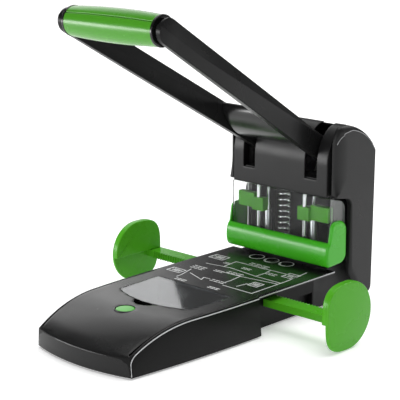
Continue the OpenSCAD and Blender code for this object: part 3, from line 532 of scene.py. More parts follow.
def bead(drop=2.0, bend=9.0, radius=0.7):
    """Thin bead just below a side's top edge, turned down at the nose corner to the floor.

    The path lives on the unrolled wall, in length along the edge and height; the turn is a
    quadratic Bezier curve with its control point on the sharp corner."""
    line = edge_at(-0.5, 0)[SIDE_RIGHT]
    far = np.concatenate([[0], np.cumsum(np.linalg.norm(np.diff(line, axis=0), axis=1))])
    top = crown(*edge_at(0, TRAY_Z)[SIDE_RIGHT].T) - drop
    run = np.linspace(0.5, far[-1] - bend, 60)
    first = np.array([run[-1], np.interp(run[-1], far, top)])
    last = np.array([far[-1], top[-1] - bend])
    curve = bezier(first, np.array([far[-1], top[-1]]), last, 14)[1:]
    down = np.stack([np.full(10, far[-1]), np.linspace(last[1] - 0.5, FOOT_Z + 1.5, 10)], 1)
    flat = np.concatenate([np.stack([run, np.interp(run, far, top)], 1), curve, down])
    x, y = (np.interp(flat[:, 0], far, line[:, c]) for c in (0, 1))
    path = np.stack([x - LEAN * flat[:, 1] / TRAY_Z, y, flat[:, 1]], 1)
    side = np.gradient(line, axis=0)
    across = [np.interp(flat[:, 0], far, s) for s in (-side[:, 1], side[:, 0])]
    out = np.stack([*across, 0 * x], 1)
    return tube(path, unit(out), radius)


# The bead along each side of the base is a painted highlight on its top edge.
piece("base_rim_highlight_line", joined(bead(), mirrored(bead())), painted_rim_highlight, "frame", crease=60)

# Along the rear of the tray, a pale silver strip on each side is a painted highlight, like the bead.
STRIP_X, STRIP_Z, STRIP_WIDE, STRIP_TALL, STRIP_END = 89.3, 51.0, 0.95, 1.1, 149.0
rear_line = np.linspace(STEP_Y + 0.4, STRIP_END, 24)
bend = np.linspace(-0.5, 1.2, 6)[:, None]
strip_x, strip_z = STRIP_X + STRIP_WIDE * np.cos(bend), STRIP_Z + STRIP_TALL * np.sin(bend)
strip = np.broadcast_arrays(strip_x, rear_line, strip_z)
strip = (np.stack(strip, -1).reshape(-1, 3), sheet_faces(*strip[0].shape))
piece("tray_rim_highlight_right", strip, painted_rim_highlight, "frame", facing=(1, 0, 0.5), crease=60)
piece("tray_rim_highlight_left", mirrored(strip), painted_rim_highlight, "frame", facing=(-1, 0, 0.5), crease=60)

# %% [markdown]
# The tray is one plate with a window, a round button hole and a notch for the die. A grid would
# leave ragged holes, so its plan is triangulated between its true edges by Blender's constrained
# Delaunay function, and then lifted by the crown formula. At the nose the same plate rolls over into
# the front face: rings along the edge, sewn to the plan. Solidify gives it all its thickness.

# %% Tray plate
WIN_BACK, WIN_FRONT, WIN_Y0 = 66.0, 62.0, -23.4
WIN_R, WIN_CY = 128.1, 15.1
NOTCH_R, NOTCH_Y = 19.0, -106.0
BUTTON_R, BUTTON_Y = 12.0, -146.0
TRAY_HALF, TRAY_END, TRAY_GAP, TRAY_WALL = 90.0, 149.3, 2.85, 3.0
DIE_HALF, DIE_Y = 60.0, 139.9


def window_outline(gap, notch=True):
    """Window in plan, gap smaller all round: straight back and sides, bowed front, finger notch."""
    x = np.linspace(WIN_FRONT - gap, gap - WIN_FRONT, 73)
    front = WIN_CY - np.sqrt((WIN_R - gap) ** 2 - x ** 2)
    cut = NOTCH_Y - np.sqrt(np.maximum(0, NOTCH_R ** 2 - x ** 2))
    front = np.where(notch & (np.abs(x) < NOTCH_R), np.minimum(front, cut), front)
    back = np.array([[gap - WIN_BACK, WIN_Y0 - gap], [WIN_BACK - gap, WIN_Y0 - gap]])
    return np.concatenate([back, np.stack([x, front], 1)])


def circle(radius, centre, count=64):
    """Points round a circle."""
    a = np.linspace(0, 2 * np.pi, count, endpoint=False)
    return np.stack([centre[0] + radius * np.cos(a), centre[1] + radius * np.sin(a)], 1)


def inside(points, outline):
    """True for points inside an outline, by counting the edges crossed to the right."""
    a, b = outline, np.roll(outline, -1, 0)
    x, y = points[:, :1], points[:, 1:]
    spans = (a[:, 1] > y) != (b[:, 1] > y)
    rise = np.where(b[:, 1] == a[:, 1], 1e-9, b[:, 1] - a[:, 1])
    cross = a[:, 0] + (y - a[:, 1]) / rise * (b[:, 0] - a[:, 0])
    return (spans & (x < cross)).sum(1) % 2 == 1


def filled_plan(outer, holes, spacing):
    """Triangles between an outer outline and its holes, with a grid of points inside.

    Each is turned anticlockwise, and kept where its middle lies inside the outline and in no hole."""
    low, high = outer.min(0), outer.max(0)
    gx, gy = np.meshgrid(np.arange(low[0], high[0], spacing), np.arange(low[1], high[1], spacing))
    grid = np.stack([gx.ravel(), gy.ravel()], 1)
    loops = [outer] + list(holes)
    points = np.concatenate(loops + [grid[inside(grid, outer)]])
    starts = np.cumsum([0] + [len(p) for p in loops])
    edges = [(int(s + i), int(s + (i + 1) % len(p))) for s, p in zip(starts, loops) for i in range(len(p))]
    made = delaunay_2d_cdt(points.tolist(), edges, [], 0, 1e-5)
    xy = np.array([tuple(v) for v in made[0]])
    tris = np.array([f for f in made[2] if len(f) == 3])
    a, b = xy[tris[:, 1]] - xy[tris[:, 0]], xy[tris[:, 2]] - xy[tris[:, 0]]
    clockwise = a[:, 0] * b[:, 1] - a[:, 1] * b[:, 0] < 0
    tris[clockwise] = tris[clockwise][:, ::-1]
    middle = xy[tris].mean(1)
    keep = inside(middle, outer)
    for hole in holes:
        keep &= ~inside(middle, hole)
    return xy, tris[keep].tolist()


ROLL_R, ROLL_Z, ROLL_TOP, ROLL_IN, ROLL_TURN = 4.0, 23.04, 26.35, 3.5, math.radians(55.9)
RAISE, RAISE_FROM, RAISE_OVER = 0.5, 50, 30
LIP_OUT, LIP_LEVELS = 0.5, (18.0, 12.0, 7.0, FOOT_Z + 0.6)


def tray_height(x, y):
    """Crown, raised a little over the last part so that the roll clears the tub below it."""
    far = np.hypot(x, y - NOSE_CY) - (NOSE_R - CROWN_LEN)
    return crown(x, y) + RAISE * np.clip((far - RAISE_FROM) / RAISE_OVER, 0, 1)


def nose_ring(depth, z=None):
    """Ring along the nose at a depth behind the edge, at a height or on the tray."""
    xy = edge_at(depth, ROLL_TOP if z is None else z)[NOSE]
    return np.column_stack([xy, tray_height(*xy.T) if z is None else np.full(len(xy), z)])


swing = np.linspace(ROLL_TURN, 0, 10)
roll = [nose_ring(ROLL_IN - ROLL_R * math.cos(ROLL_TURN))]
roll += [nose_ring(ROLL_IN - ROLL_R * math.cos(a), ROLL_Z + ROLL_R * math.sin(a)) for a in swing[1:]]
roll += [nose_ring(-LIP_OUT, z) for z in LIP_LEVELS]
side_line = edge_at(TRAY_GAP, TRAY_Z)
front = np.concatenate([side_line[:NOSE.start], roll[0][:, :2], side_line[NOSE.stop:]])
rear = np.array([[TRAY_HALF, STEP_Y + 0.3], [TRAY_HALF, TRAY_END], [DIE_HALF, TRAY_END], [DIE_HALF, DIE_Y]])
tray_outer = np.concatenate([rear, rear[::-1] * FLIP, front[::-1]])
tray_holes = [window_outline(0), circle(BUTTON_R + 0.4, (0, BUTTON_Y))]
plan, tray_tris = filled_plan(tray_outer, tray_holes, 6.0)
tray_points = np.column_stack([plan, tray_height(plan[:, 0], plan[:, 1])])
hood = joined((tray_points, tray_tris), sweep(roll))
tray = piece("tray_plate", hood, tray_grey, "frame", ("tray_top",), (0, 0, 1))
thicken(tray, TRAY_WALL, 0.6)

# %% [markdown]
# Under the window lies a storage bin with a clear lid. A box would do for a clear plate, but its rims
# are what the eye finds, so the lid is the window's own outline with soft edges. It carries the small
# hinge barrel that turns on the frame's pin. The green button is a turned profile, which gives its
# stem, shoulder and slight dome at once, and a black ring lines its hole.

# %% Lid and button


def turned(profile, centre=(0, 0), count=72, axis="z", hollow=False):
    """Profile rows of (radius, height) spun round an axis. A hollow profile runs back to its first
    row, so that it closes on itself as a ring; any other is closed by a face on each end."""
    profile = np.asarray(profile, float)
    if hollow:
        profile = np.concatenate([profile, profile[:1]])
    a = np.linspace(0, 2 * np.pi, count, endpoint=False)
    r, h = profile[:, :1], np.repeat(profile[:, 1:], count, 1)
    p, q = centre[0] + r * np.cos(a), centre[1] + r * np.sin(a)
    stack = np.stack([p, q, h] if axis == "z" else [h, p, q], -1)
    return stack.reshape(-1, 3), ring_faces(len(profile), count, capped=not hollow)


LID_LOW, LID_BACK = 49.6, -25.0
HINGE_Y, HINGE_Z, BORE_R, BARREL_R, BARREL_HALF = -27.0, 50.0, 1.05, 1.95, 52.7
lid_edge = window_outline(0.5, notch=False)
lid_edge[:2, 1] = LID_BACK
barrel = [(BORE_R, -BARREL_HALF), (BARREL_R, -BARREL_HALF), (BARREL_R, BARREL_HALF), (BORE_R, BARREL_HALF)]
lid = joined(plate(lid_edge, LID_LOW, TRAY_Z, 0.3, 0.5, "xy", 4), turned(barrel, (HINGE_Y, HINGE_Z), 24, "x"))
piece("clear_lid_skin", lid, lid_plastic, "lid", ("clear_lid",))

CAP_SOFT, CAP_DOME, SHOULDER_Z = 1.2, 0.35, 50.4
FACE_R, FACE_Z = BUTTON_R - CAP_SOFT, SHOULDER_Z + CAP_SOFT
stem = [(0.01, 38), (10, 38), (10, 44), (13.6, 44), (13.6, 46), (BUTTON_R, 46)]
shoulder = arc_points((FACE_R, SHOULDER_Z), CAP_SOFT, 0, np.pi / 2, 6)
share = np.linspace(0, 1, 10)[1:]
dome = np.stack([FACE_R - (FACE_R - 0.01) * share, FACE_Z + CAP_DOME * (1 - (1 - share) ** 2)], 1)
button = turned(np.concatenate([stem, shoulder, dome]), (0, BUTTON_Y))
piece("button_cap", button, green, "button", ("release_button",))

RING_R, RING_Z, RING_SIZE = 13.25, 51.3, (0.8, 0.75)
ring_rows = arc_points((RING_R, RING_Z), RING_SIZE, np.pi, 0, 9)
button_ring = turned(ring_rows, (0, BUTTON_Y), hollow=True)
piece("button_ring", button_ring, collar_black, "frame")

# %% [markdown]
# Two paddles stand on the ends of the guide bars. Each is a plate with one straight and one oval
# side, thick above a ledge and thin below it, where it hangs beside the base. Arcs could draw the
# outline, but they would meet in visible bends. A superellipse runs smoothly all the way round, and
# an exponent squares it up on one side.

# %% Paper guide paddles
PADDLE_MID, PADDLE_A, PADDLE_B, SQUARED = 43.4, 43.0, 42.6, 0.62
LEDGE_Z, BLOCK_X, SHEET_X = 40.3, (190.0, 197.0), (196.0, 200.0)
PADDLE_SOFT, PADDLE_DOME = 1.6, 2.4
RIGHT_PADDLE_Y, LEFT_PADDLE_Y = 37.95, 62.17


def paddle_outline(way, y, count=160):
    """Superellipse: an exponent of 1 gives the oval side, SQUARED the squarer side."""
    a = np.linspace(0, 2 * np.pi, count, endpoint=False)
    e = np.where(np.cos(a) < 0, SQUARED, 1.0)
    c = np.sign(np.cos(a)) * np.abs(np.cos(a)) ** e
    s = np.sign(np.sin(a)) * np.abs(np.sin(a)) ** e
    return np.stack([y + way * PADDLE_A * c, PADDLE_MID + PADDLE_B * s], 1)


def domed(outline, level, height, rings=16):
    """Outline shrunk toward its middle; a ring of share s is raised by height times 1 - s squared."""
    s = np.linspace(1, 0.03, rings)[:, None, None]
    flat = outline.mean(0) + s * (outline - outline.mean(0))
    x = np.broadcast_to(level + height * (1 - s ** 2), flat.shape[:2] + (1,))
    return np.concatenate([x, flat], -1).reshape(-1, 3), ring_faces(rings, len(outline))


def paddle(way, y):
    """Thin plate over the full outline, domed outside, and a thicker part above the ledge."""
    whole = paddle_outline(way, y)
    upper = whole[whole[:, 1] > LEDGE_Z]
    first = int(np.argmax(np.linalg.norm(np.roll(upper, -1, 0) - upper, axis=1)))
    upper = np.roll(upper, -first - 1, 0)
    ends = np.stack([[upper[-1, 0], LEDGE_Z], [upper[0, 0], LEDGE_Z]])
    thick = plate(np.concatenate([upper, ends]), *BLOCK_X, PADDLE_SOFT, 0.1)
    face = domed(inset(whole, PADDLE_SOFT + 0.2), SHEET_X[1] - 0.1, PADDLE_DOME)
    return joined(plate(whole, *SHEET_X, 0.6, PADDLE_SOFT), thick, face)


right_paddle, left_paddle = paddle(1, RIGHT_PADDLE_Y), mirrored(paddle(-1, LEFT_PADDLE_Y))
piece("right_paddle_skin", right_paddle, guide_green, "right_guide", ("right_paddle",))
piece("left_paddle_skin", left_paddle, guide_green, "left_guide", ("left_paddle",))

# %% [markdown]
# Behind the guide bars the base has a shallow pocket in each side. The CAD mesh leaves its back open,
# and a boolean could close it there, but that mesh stays as it is. So a thin black slab set into the
# pocket is painted shade: it stands for the dark inside of the opening.

# %% Side pockets
(y0, y1), (z0, z1), POCKET_X = (92.5, 122.5), (8.5, 26.8), (66.0, 67.4)
pocket_shade_slab = plate(np.array([[y0, z0], [y1, z0], [y1, z1], [y0, z1]]), *POCKET_X, 0.3, 0.3)
piece("pocket_shade_slabs", joined(pocket_shade_slab, mirrored(pocket_shade_slab)), base_black, "frame")

# %% [markdown]
# The column is covered by a front panel that rises straight and then rolls back like a barrel,
# with two slots for the arms. A boolean could cut the slots, but it leaves long thin faces that shade
# badly. So the panel is a grid over its width and its profile: the cells in the slots are left out,
# then Solidify and Bevel give the wall and its soft edges.

# %% Front panel
PANEL_Y, PANEL_Z, ROUND_Z, APEX_Z, SEAM_Y = 139.5, 151.0, 192.0, 243.5, 179.0
PANEL_HALF, SLOT_IN, SLOT_OUT, SLOT_Z = 81.0, 43.2, 63.6, 173.0
PANEL_WALL, END_X = 2.5, (78.0, 80.9)


def panel_profile():
    """Side view: upright from PANEL_Z to ROUND_Z, then a quarter ellipse back to the seam."""
    up = np.concatenate([np.linspace(PANEL_Z, SLOT_Z, 8), np.linspace(SLOT_Z, ROUND_Z, 6)[1:]])
    straight = np.stack([np.full(len(up), PANEL_Y), up], 1)
    bow = arc_points((SEAM_Y, ROUND_Z), (SEAM_Y - PANEL_Y, APEX_Z - ROUND_Z), np.pi, np.pi / 2, 40)
    return np.concatenate([straight, bow[1:]])


side_view = panel_profile()
x_lines = np.concatenate([np.linspace(-PANEL_HALF, PANEL_HALF, 55), [-SLOT_OUT, -SLOT_IN, SLOT_IN, SLOT_OUT]])
grid = np.stack(np.broadcast_arrays(np.unique(x_lines), side_view[:, :1], side_view[:, 1:]), -1)
cells = np.array(sheet_faces(*grid.shape[:2]))
grid = grid.reshape(-1, 3)
middle = grid[cells].mean(1)
in_slot = (np.abs(middle[:, 0]) > SLOT_IN) & (np.abs(middle[:, 0]) < SLOT_OUT) & (middle[:, 2] > SLOT_Z)
panel = piece("front_panel_skin", (grid, cells[~in_slot].tolist()), shell_grey, "frame",
              ("front_panel",), (0, -1, 0.5))
thicken(panel, PANEL_WALL, 0.7)
end_line = inset(np.concatenate([side_view, [[SEAM_Y, PANEL_Z + 8]]]), 0.5)
end_wall = plate(end_line, *END_X, 0.3, 0.9)
piece("panel_end_walls", joined(end_wall, mirrored(end_wall)), shell_grey, "frame")

# %% [markdown]
# The cheeks close the column on both sides. Seen from the side the outline rises at the front,
# turns over in a short round and falls to the back in one long arc. Its front edge is very soft:
# there the outline moves in much further than on the other edges, so each point has its own depth.
# A fine light grey line along the crease of the top is a painted highlight, drawn where light would catch a
# crisp moulded edge.

# %% Cheeks
CHEEK_Y, CREST_Y, CREST_Z, CREST_R = 143.5, 158.0, 245.7, 80.06
CHEEK_X, CHEEK_LOW, CHEEK_SOFT, CREST_TALL, CREST_LONG = (85.5, 93.5), 151.8, 1.7, 24, 70
FRONT_DEPTH, FRONT_RISE, SLANT_DEPTH, SLANT_RISE, BAND_RISE = 21.0, 5.3, 7.0, 4.0, 6.5
LOW_OVER, SLANT_TOP, SLANT_OVER, SLANT_BACK, SLANT_FADE = 26, 66, 26, 204, 10
BAND_Y, BAND_DEPTH, BAND_LOW = [158, 168, 178, 197, 227], [10.5, 8.2, 5.4, 3.8, 0.6], 206
LINE_X, LINE_R, LINE_LOW, LINE_FRONT = 93.15, 0.6, 207, 149.5
LINE_END, LINE_BEND = np.array([90.4, 147.4, 222.3]), np.array([92.0, 151.5, 230.8])


def fall(y, z, radius, start, stop, count):
    """Arc in Y and Z that is level at its top point (y, z) and falls toward the back."""
    a = np.linspace(start, stop, count)
    return np.stack([y + radius * np.sin(a), z - radius * (1 - np.cos(a))], 1)


def cheek_outline():
    """Soft corners below; above them a quarter ellipse at the front and a long arc to the back."""
    rows = [(CHEEK_Y, CHEEK_LOW, 4), (CHEEK_Y, 222, 0.01), (228, 204.5, 0.01), (226, 8, 10), (203, 8, 8),
            (177.6, 46, 24), (177.6, 146, 12)]
    corner = soft_outline(rows, 14).reshape(len(rows), -1, 2)
    size = (CREST_Y - CHEEK_Y, CREST_TALL)
    turn_over = arc_points((CREST_Y, CREST_Z - CREST_TALL), size, np.pi, np.pi / 2, 24)
    back = fall(CREST_Y, CREST_Z, CREST_R, 0, math.asin(CREST_LONG / CREST_R), 40)
    upright = np.stack([np.full(9, CHEEK_Y), np.linspace(160, 218, 9)], 1)
    return np.concatenate([corner[0], upright, turn_over, back[1:], corner[3:].reshape(-1, 2)])


cheek_line = cheek_outline()
front_share = np.clip((CREST_Y - cheek_line[:, :1]) / (CREST_Y - CHEEK_Y), 0, 1) ** 1.3
low_share = np.clip((cheek_line[:, 1:] - CHEEK_LOW) / LOW_OVER, 0, 1) ** 0.6
soft_share = front_share * low_share
slant_low = np.clip((SLANT_TOP - cheek_line[:, 1:]) / SLANT_OVER, 0, 1)
slant_share = slant_low * np.clip((SLANT_BACK - cheek_line[:, :1]) / SLANT_FADE, 0, 1)
top_band = np.interp(cheek_line[:, :1], BAND_Y, BAND_DEPTH) * (cheek_line[:, 1:] > BAND_LOW)
depth = np.maximum(CHEEK_SOFT + FRONT_DEPTH * soft_share + SLANT_DEPTH * slant_share, top_band)
rise = CHEEK_SOFT + FRONT_RISE * soft_share + SLANT_RISE * slant_share
rise = np.maximum(rise, np.minimum(BAND_RISE, 1.3 * top_band))
cheek = plate(cheek_line, *CHEEK_X, 0.4, depth, steps=12, rise=rise)
both_sides("cheek", cheek, shell_grey, "frame", 40)
# The line along the crest is a painted highlight: a light grey tube on the crease, where light would catch
# the edge.
crest = inset(cheek_line, depth + 0.2)[(cheek_line[:, 1] > LINE_LOW) & (cheek_line[:, 0] > LINE_FRONT)]
crest = np.column_stack([np.full(len(crest), LINE_X), crest])
crest = np.concatenate([bezier(LINE_END, LINE_BEND, crest[0], 9)[:-1], crest])
edge_line = tube(crest, np.broadcast_to([1.0, 0, 0], crest.shape), LINE_R)
piece("cheek_crest_highlight_lines", joined(edge_line, mirrored(edge_line)), crest_highlight_grey, "frame", crease=60)

# %% [markdown]
# The rear cover is a bent wall between the cheeks. It follows the same kind of falling arc, a little
# below the cheeks, and then drops straight to the drawer. Its outside and inside are two such arcs
# joined into one closed outline, so that the wall has a true thickness without a modifier.

# %% Rear cover
COVER_Y, COVER_R, COVER_TOP, COVER_HALF, COVER_T = 168.0, 59.56, 242.8, 85.4, 3
COVER_START, COVER_REACH, COVER_FOOT = 11, 51, 28.0


def cover_side(depth):
    """One side of the wall, at a depth under the outside: an arc and then its foot."""
    radius, reach = COVER_R - depth, COVER_REACH - depth
    start, stop = math.asin(COVER_START / radius), math.asin(reach / radius)
    arc = fall(COVER_Y, COVER_TOP - depth, radius, start, stop, 24)
    return np.concatenate([arc, [[COVER_Y + reach, COVER_FOOT]]])


cover_line = np.concatenate([cover_side(0), cover_side(COVER_T)[::-1]])
cover = plate(cover_line, -COVER_HALF, COVER_HALF, 0.3, 0.3, flat=0.2)
piece("rear_cover_skin", cover, shell_grey, "frame", ("rear_cover",))

# %% [markdown]
# The green guard keeps fingers from the pins: a bulged bar across the front with a fin at each end.
# Above it stands a clear shield bent round the front and both sides. Guard and shield are outlines
# again; the bar's bulge is a flattened half ellipse, and the shield is a path in plan carried
# upwards, with a lower rear corner.

# %% Guard and shield
BAR_Y, BAR_Z, BULGE, BULGE_HALF, BAR_HALF, FIN_X = 139.6, 74.9, 7.2, 16.4, 86.0, (85.7, 89.7)
BULGE_SAG, BULGE_FLAT = 0.9, 0.9
FIN_ROWS = [(BAR_Y, 58.6, 0.01), (138.4, 92.5, 3), (143, 118, 9), (173.5, 119.5, 15), (174.5, 60.5, 13)]
bow = np.linspace(-np.pi / 2, np.pi / 2, 36)
bulge_z = BAR_Z - BULGE_SAG * np.cos(bow) ** 2 + BULGE_HALF * np.sin(bow)
bulge = np.stack([BAR_Y - BULGE * np.cos(bow) ** BULGE_FLAT, bulge_z], 1)
bar_back = np.array([[139.9, 91.0], [139.9, 64.3], [143.0, 62.3], [143.0, 58.5]])
fin_corner = soft_outline(FIN_ROWS, 12).reshape(len(FIN_ROWS), -1, 2)
fin_line = np.concatenate([bulge[:-3], fin_corner[1:].reshape(-1, 2)])
bar = plate(np.concatenate([bulge, bar_back]), -BAR_HALF, BAR_HALF, 0.05, 0.05, steps=2, flat=0)
fin = plate(fin_line, *FIN_X, 0.4, 3.4, steps=9)
piece("guard_skin", joined(bar, fin, mirrored(fin)), green, "frame", ("guard",))


SHIELD_T, TAIL, PANE_ROWS, SIDE_COLS = 2.0, 9.0, 12, 14


def shield_sheet(half=85.4, front=140.0, rear=174.0, corner=5.0, low=64.6, high=150.7):
    """Path in plan, left side to right side with rounded corners, carried up to its own height.

    The top is level in front, falls by TAIL toward the rear and ends in a round of that radius."""
    left = np.stack([np.full(SIDE_COLS, -half), np.linspace(rear, front + corner, SIDE_COLS)], 1)
    bend = arc_points((corner - half, front + corner), corner, np.pi, 1.5 * np.pi, 8)
    middle = np.stack([np.linspace(corner - half, 0, 12), np.full(12, front)], 1)
    half_path = np.concatenate([left, bend[1:], middle[1:]])
    path = np.concatenate([half_path, half_path[-2::-1] * FLIP])
    back_share = np.clip((path[:, 1] - front) / (rear - front), 0, 1)
    tail = np.clip((path[:, 1] - rear + TAIL) / TAIL, 0, 1)
    top = high - TAIL * back_share - TAIL * (1 - np.sqrt(1 - tail ** 2))
    z = low + np.linspace(0, 1, PANE_ROWS)[:, None] * (top - low)
    sheet = np.stack(np.broadcast_arrays(path[:, 0], path[:, 1], z), -1)
    parts = [sheet[:, :SIDE_COLS + 1], sheet[:, SIDE_COLS:-SIDE_COLS], sheet[:, -SIDE_COLS - 1:]]
    return [(part.reshape(-1, 3), sheet_faces(PANE_ROWS, part.shape[1])) for part in parts]


left_pane, bent_front, right_pane = shield_sheet()
SHIELD = [("shield_skin", bent_front, clear_plastic, ("shield",), (0, -1, 0)),
          ("shield_right_pane", right_pane, pane_plastic, (), (1, 0, 0)),
          ("shield_left_pane", left_pane, clear_plastic, (), (-1, 0, 0))]
for name, sheet, plastic, stands_for, facing in SHIELD:
    thicken(piece(name, sheet, plastic, "frame", stands_for, facing), SHIELD_T, 0.5)

# %% [markdown]
# The return spring is wound steel wire. A bevelled curve could draw it, but all pieces of this lesson
# are meshes, so it is a circle carried along a helix, fine enough to look round. It shortens with the
# press.

# %% Return spring
SPRING_R, WIRE_R, TURNS = 8.0, 1.5, 12
SPRING_Y, SPRING_Z0, SPRING_Z1 = 154.0, 68.0, 158.2


def wound_wire(sides=12, per_turn=28):
    """Wire circle on a helix; the first and the last half turn lie flat."""
    a = np.linspace(0, 2 * np.pi * TURNS, TURNS * per_turn + 1)
    share = np.clip((a / (2 * np.pi) - 0.5) / (TURNS - 1), 0, 1)
    z = SPRING_Z0 + WIRE_R + share * (SPRING_Z1 - SPRING_Z0 - 2 * WIRE_R)
    path = np.stack([SPRING_R * np.cos(a), SPRING_Y + SPRING_R * np.sin(a), z], 1)
    return tube(path, np.stack([np.cos(a), np.sin(a), np.zeros_like(a)], 1), WIRE_R, sides)


spring = piece("return_spring_wire", wound_wire(), bright_steel, "frame", ("return_spring",))
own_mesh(spring)

# %% [markdown]
# The press runs on two posts. The lower part of each post carries a dull sleeve that stops the press.
# A cylinder would do, but a short profile turned round the post gives its taper and chamfer at once.

# %% Post sleeves
POST_PLACE = (40.0, 166.0)
sleeve_rows = [(4.05, 72.0), (4.5, 72.0), (4.9, 110.6), (4.5, 111.4), (4.05, 111.4)]
sleeve = turned(sleeve_rows, POST_PLACE, 40, hollow=True)
piece("post_sleeves", joined(sleeve, mirrored(sleeve)), plain_steel, "frame", crease=40)

# %% [markdown]
# The lever is a loop: two splayed arms, a rounded web near the hub and a thick grip. It is drawn in
# its own axes, with L along the arm and N across it, and placed by one turn about the pivot. A long
# box with a Bevel modifier would have one bevel all along. The real one grows toward the grip, so an
# arm is a section that changes while it is carried along L.

# %% Lever arms
PIVOT_Y, PIVOT_Z, LEVER_ANGLE = 182.0, 198.5, math.radians(30.2)
GRIP_L, HUB_X, GRIP_X, SPLAY_L, ARM_HALF = 388.0, 53.0, 82.7, 52.0, 15.5
SLOPE = (GRIP_X - HUB_X) / (GRIP_L - SPLAY_L)
ARM_SIDE, ARM_TOP, BEVEL_HUB, BEVEL_GRIP = 5.5, 2.6, 12.0, -1.0
BLEND_FROM, BLEND_OVER, THIN_FROM, THIN_OVER, DOME_OVER = 60, 260, 230, 140, 8
THIN_IN, DOME_IN = 0.42, 0.6


def lever_place(x, length, normal):
    """World points from lever axes: turned up by the rest angle about the pivot."""
    y = PIVOT_Y - length * math.cos(LEVER_ANGLE) + normal * math.sin(LEVER_ANGLE)
    z = PIVOT_Z + length * math.sin(LEVER_ANGLE) + normal * math.cos(LEVER_ANGLE)
    return np.stack(np.broadcast_arrays(x, y, z), -1)


def arm_middle(length):
    """Middle of an arm: parallel at the hub, then splayed."""
    return HUB_X + SLOPE * np.maximum(0, length - SPLAY_L)


def arm_section(bevel):
    """Section of an arm in x and N: flat sides, an upper bevel that starts at N = bevel."""
    right = [(ARM_SIDE, -ARM_HALF, 1.4), (ARM_SIDE, bevel, 2.0), (ARM_TOP, ARM_HALF, 1.2)]
    return soft_outline(right + [(-x, n, radius) for x, n, radius in right[::-1]], 6)


def arm(rings=60):
    """Two sections blended along L; each end shrinks as a half circle.

    The outside thins along the far part of the arm and domes at the grip."""
    a = np.linspace(np.pi / 2, 0, 12)
    straight = np.linspace(0, GRIP_L, rings)[1:-1]
    length = np.concatenate([-ARM_HALF * np.sin(a), straight, GRIP_L + ARM_HALF * np.sin(a[::-1])])
    tall = np.concatenate([np.cos(a), np.ones(rings - 2), np.cos(a[::-1])])[:, None]
    tall = np.maximum(tall, 0.02)
    blend = np.clip((length - BLEND_FROM) / BLEND_OVER, 0, 1)[:, None, None]
    ring = arm_section(BEVEL_HUB)[None] * (1 - blend) + arm_section(BEVEL_GRIP)[None] * blend
    dome = 1 - DOME_IN * np.clip((length - GRIP_L + DOME_OVER) / (ARM_HALF + DOME_OVER), 0, 1) ** 1.6
    thin = 1 - THIN_IN * np.clip((length - THIN_FROM) / THIN_OVER, 0, 1) ** 1.3
    outside = (dome * thin)[:, None]
    x = arm_middle(length)[:, None] + np.where(ring[..., 0] > 0, outside, 1) * ring[..., 0]
    points = lever_place(x, length[:, None], ring[..., 1] * tall)
    return points.reshape(-1, 3), ring_faces(len(length), ring.shape[1])


both_sides("arm", arm(), arm_grey, "lever", 50)

# %% [markdown]
# The web joins the arms in front of the hub with a drum-like face. Seen from the side its line is a
# tight round below the top edge, a flatter run and a wider round: each step of the line moves by the
# local radius times the turn. Near each arm the face drops away in a rounded end.

# %% Lever web
WEB_END, WEB_DROP, WEB_GAP, WEB_LEVEL = 6.0, 7.0, 2.5, 8
WEB_TURNS, WEB_RADII = [-50, 2, 8, 32, 40, 82], [46, 46, 62, 62, 20, 20]
WEB_PLACE, WEB_TURN_R, WEB_BACK, WEB_WALL = np.array([118.0, 11.4]), 3.0, 62.0, 3.5


def web_line():
    """Side view in L and N from the bottom to the top edge, and the outward normals."""
    turn_deg = np.linspace(WEB_TURNS[-1], WEB_TURNS[0], 66)
    radius = np.interp(turn_deg, WEB_TURNS, WEB_RADII)
    phi = np.radians(turn_deg)
    step = (radius * np.gradient(phi))[:, None] * np.stack([np.cos(phi), np.sin(phi)], 1)
    line = WEB_PLACE + np.cumsum(step, 0)
    return line[::-1], np.stack([np.sin(phi), -np.cos(phi)], 1)[::-1]


def web_face(cols=81):
    """The web's line carried from arm to arm, with rounded ends, a turn on top and a plate behind."""
    u = np.linspace(-1, 1, cols)[None, :]
    line, out = web_line()
    half = arm_middle(line[:, :1]) - WEB_GAP
    near = np.clip(1 - half * (1 - np.abs(u)) / WEB_END, 0, 1)
    level = np.clip((WEB_LEVEL - line[:, 1:]) / WEB_LEVEL, 0, 1)
    drop = WEB_DROP * (1 - np.sqrt(1 - near ** 2)) * level
    length = line[:, :1] - drop * out[:, :1]
    normal = line[:, 1:] - drop * out[:, 1:]
    a = np.linspace(0, np.pi / 2, 7)[1:, None]
    turn_l = length[-1:] - WEB_TURN_R * (1 - np.cos(a))
    turn_n = normal[-1:] + WEB_TURN_R * np.sin(a)
    back_l = turn_l[-1:] + (WEB_BACK - turn_l[-1:]) * np.linspace(0, 1, 12)[1:, None]
    back_n = np.broadcast_to(turn_n[-1:], back_l.shape)
    length = np.concatenate([length, turn_l, back_l])
    normal = np.concatenate([normal, turn_n, back_n])
    points = lever_place(u * (arm_middle(length) - WEB_GAP), length, normal)
    return points.reshape(-1, 3), sheet_faces(len(length), cols)


web = piece("lever_web_skin", web_face(), web_grey, "lever", ("lever_web",), (0, -1, 0), 70)
thicken(web, WEB_WALL)

# %% [markdown]
# The grip is a barrel in two shells. Their joint shows as a thin dark line along the upper front. It
# could be painted on one barrel, but a true gap catches light on both its rims, so each shell is a
# half turn of the barrel with slightly rounded long edges.

# %% Grip
GRIP_Y = PIVOT_Y - GRIP_L * math.cos(LEVER_ANGLE)
GRIP_Z = PIVOT_Z + GRIP_L * math.sin(LEVER_ANGLE)
GRIP_HALF, GRIP_MID_R, GRIP_END_R, GRIP_TUBE_R = 72.0, 20.5, 18.2, 9.1
SPLIT, SPLIT_GAP = math.radians(39.5), 0.35
COLLAR_R, COLLAR_SOFT, COLLAR_X = 17.8, 1.0, (72.1, 75.3)


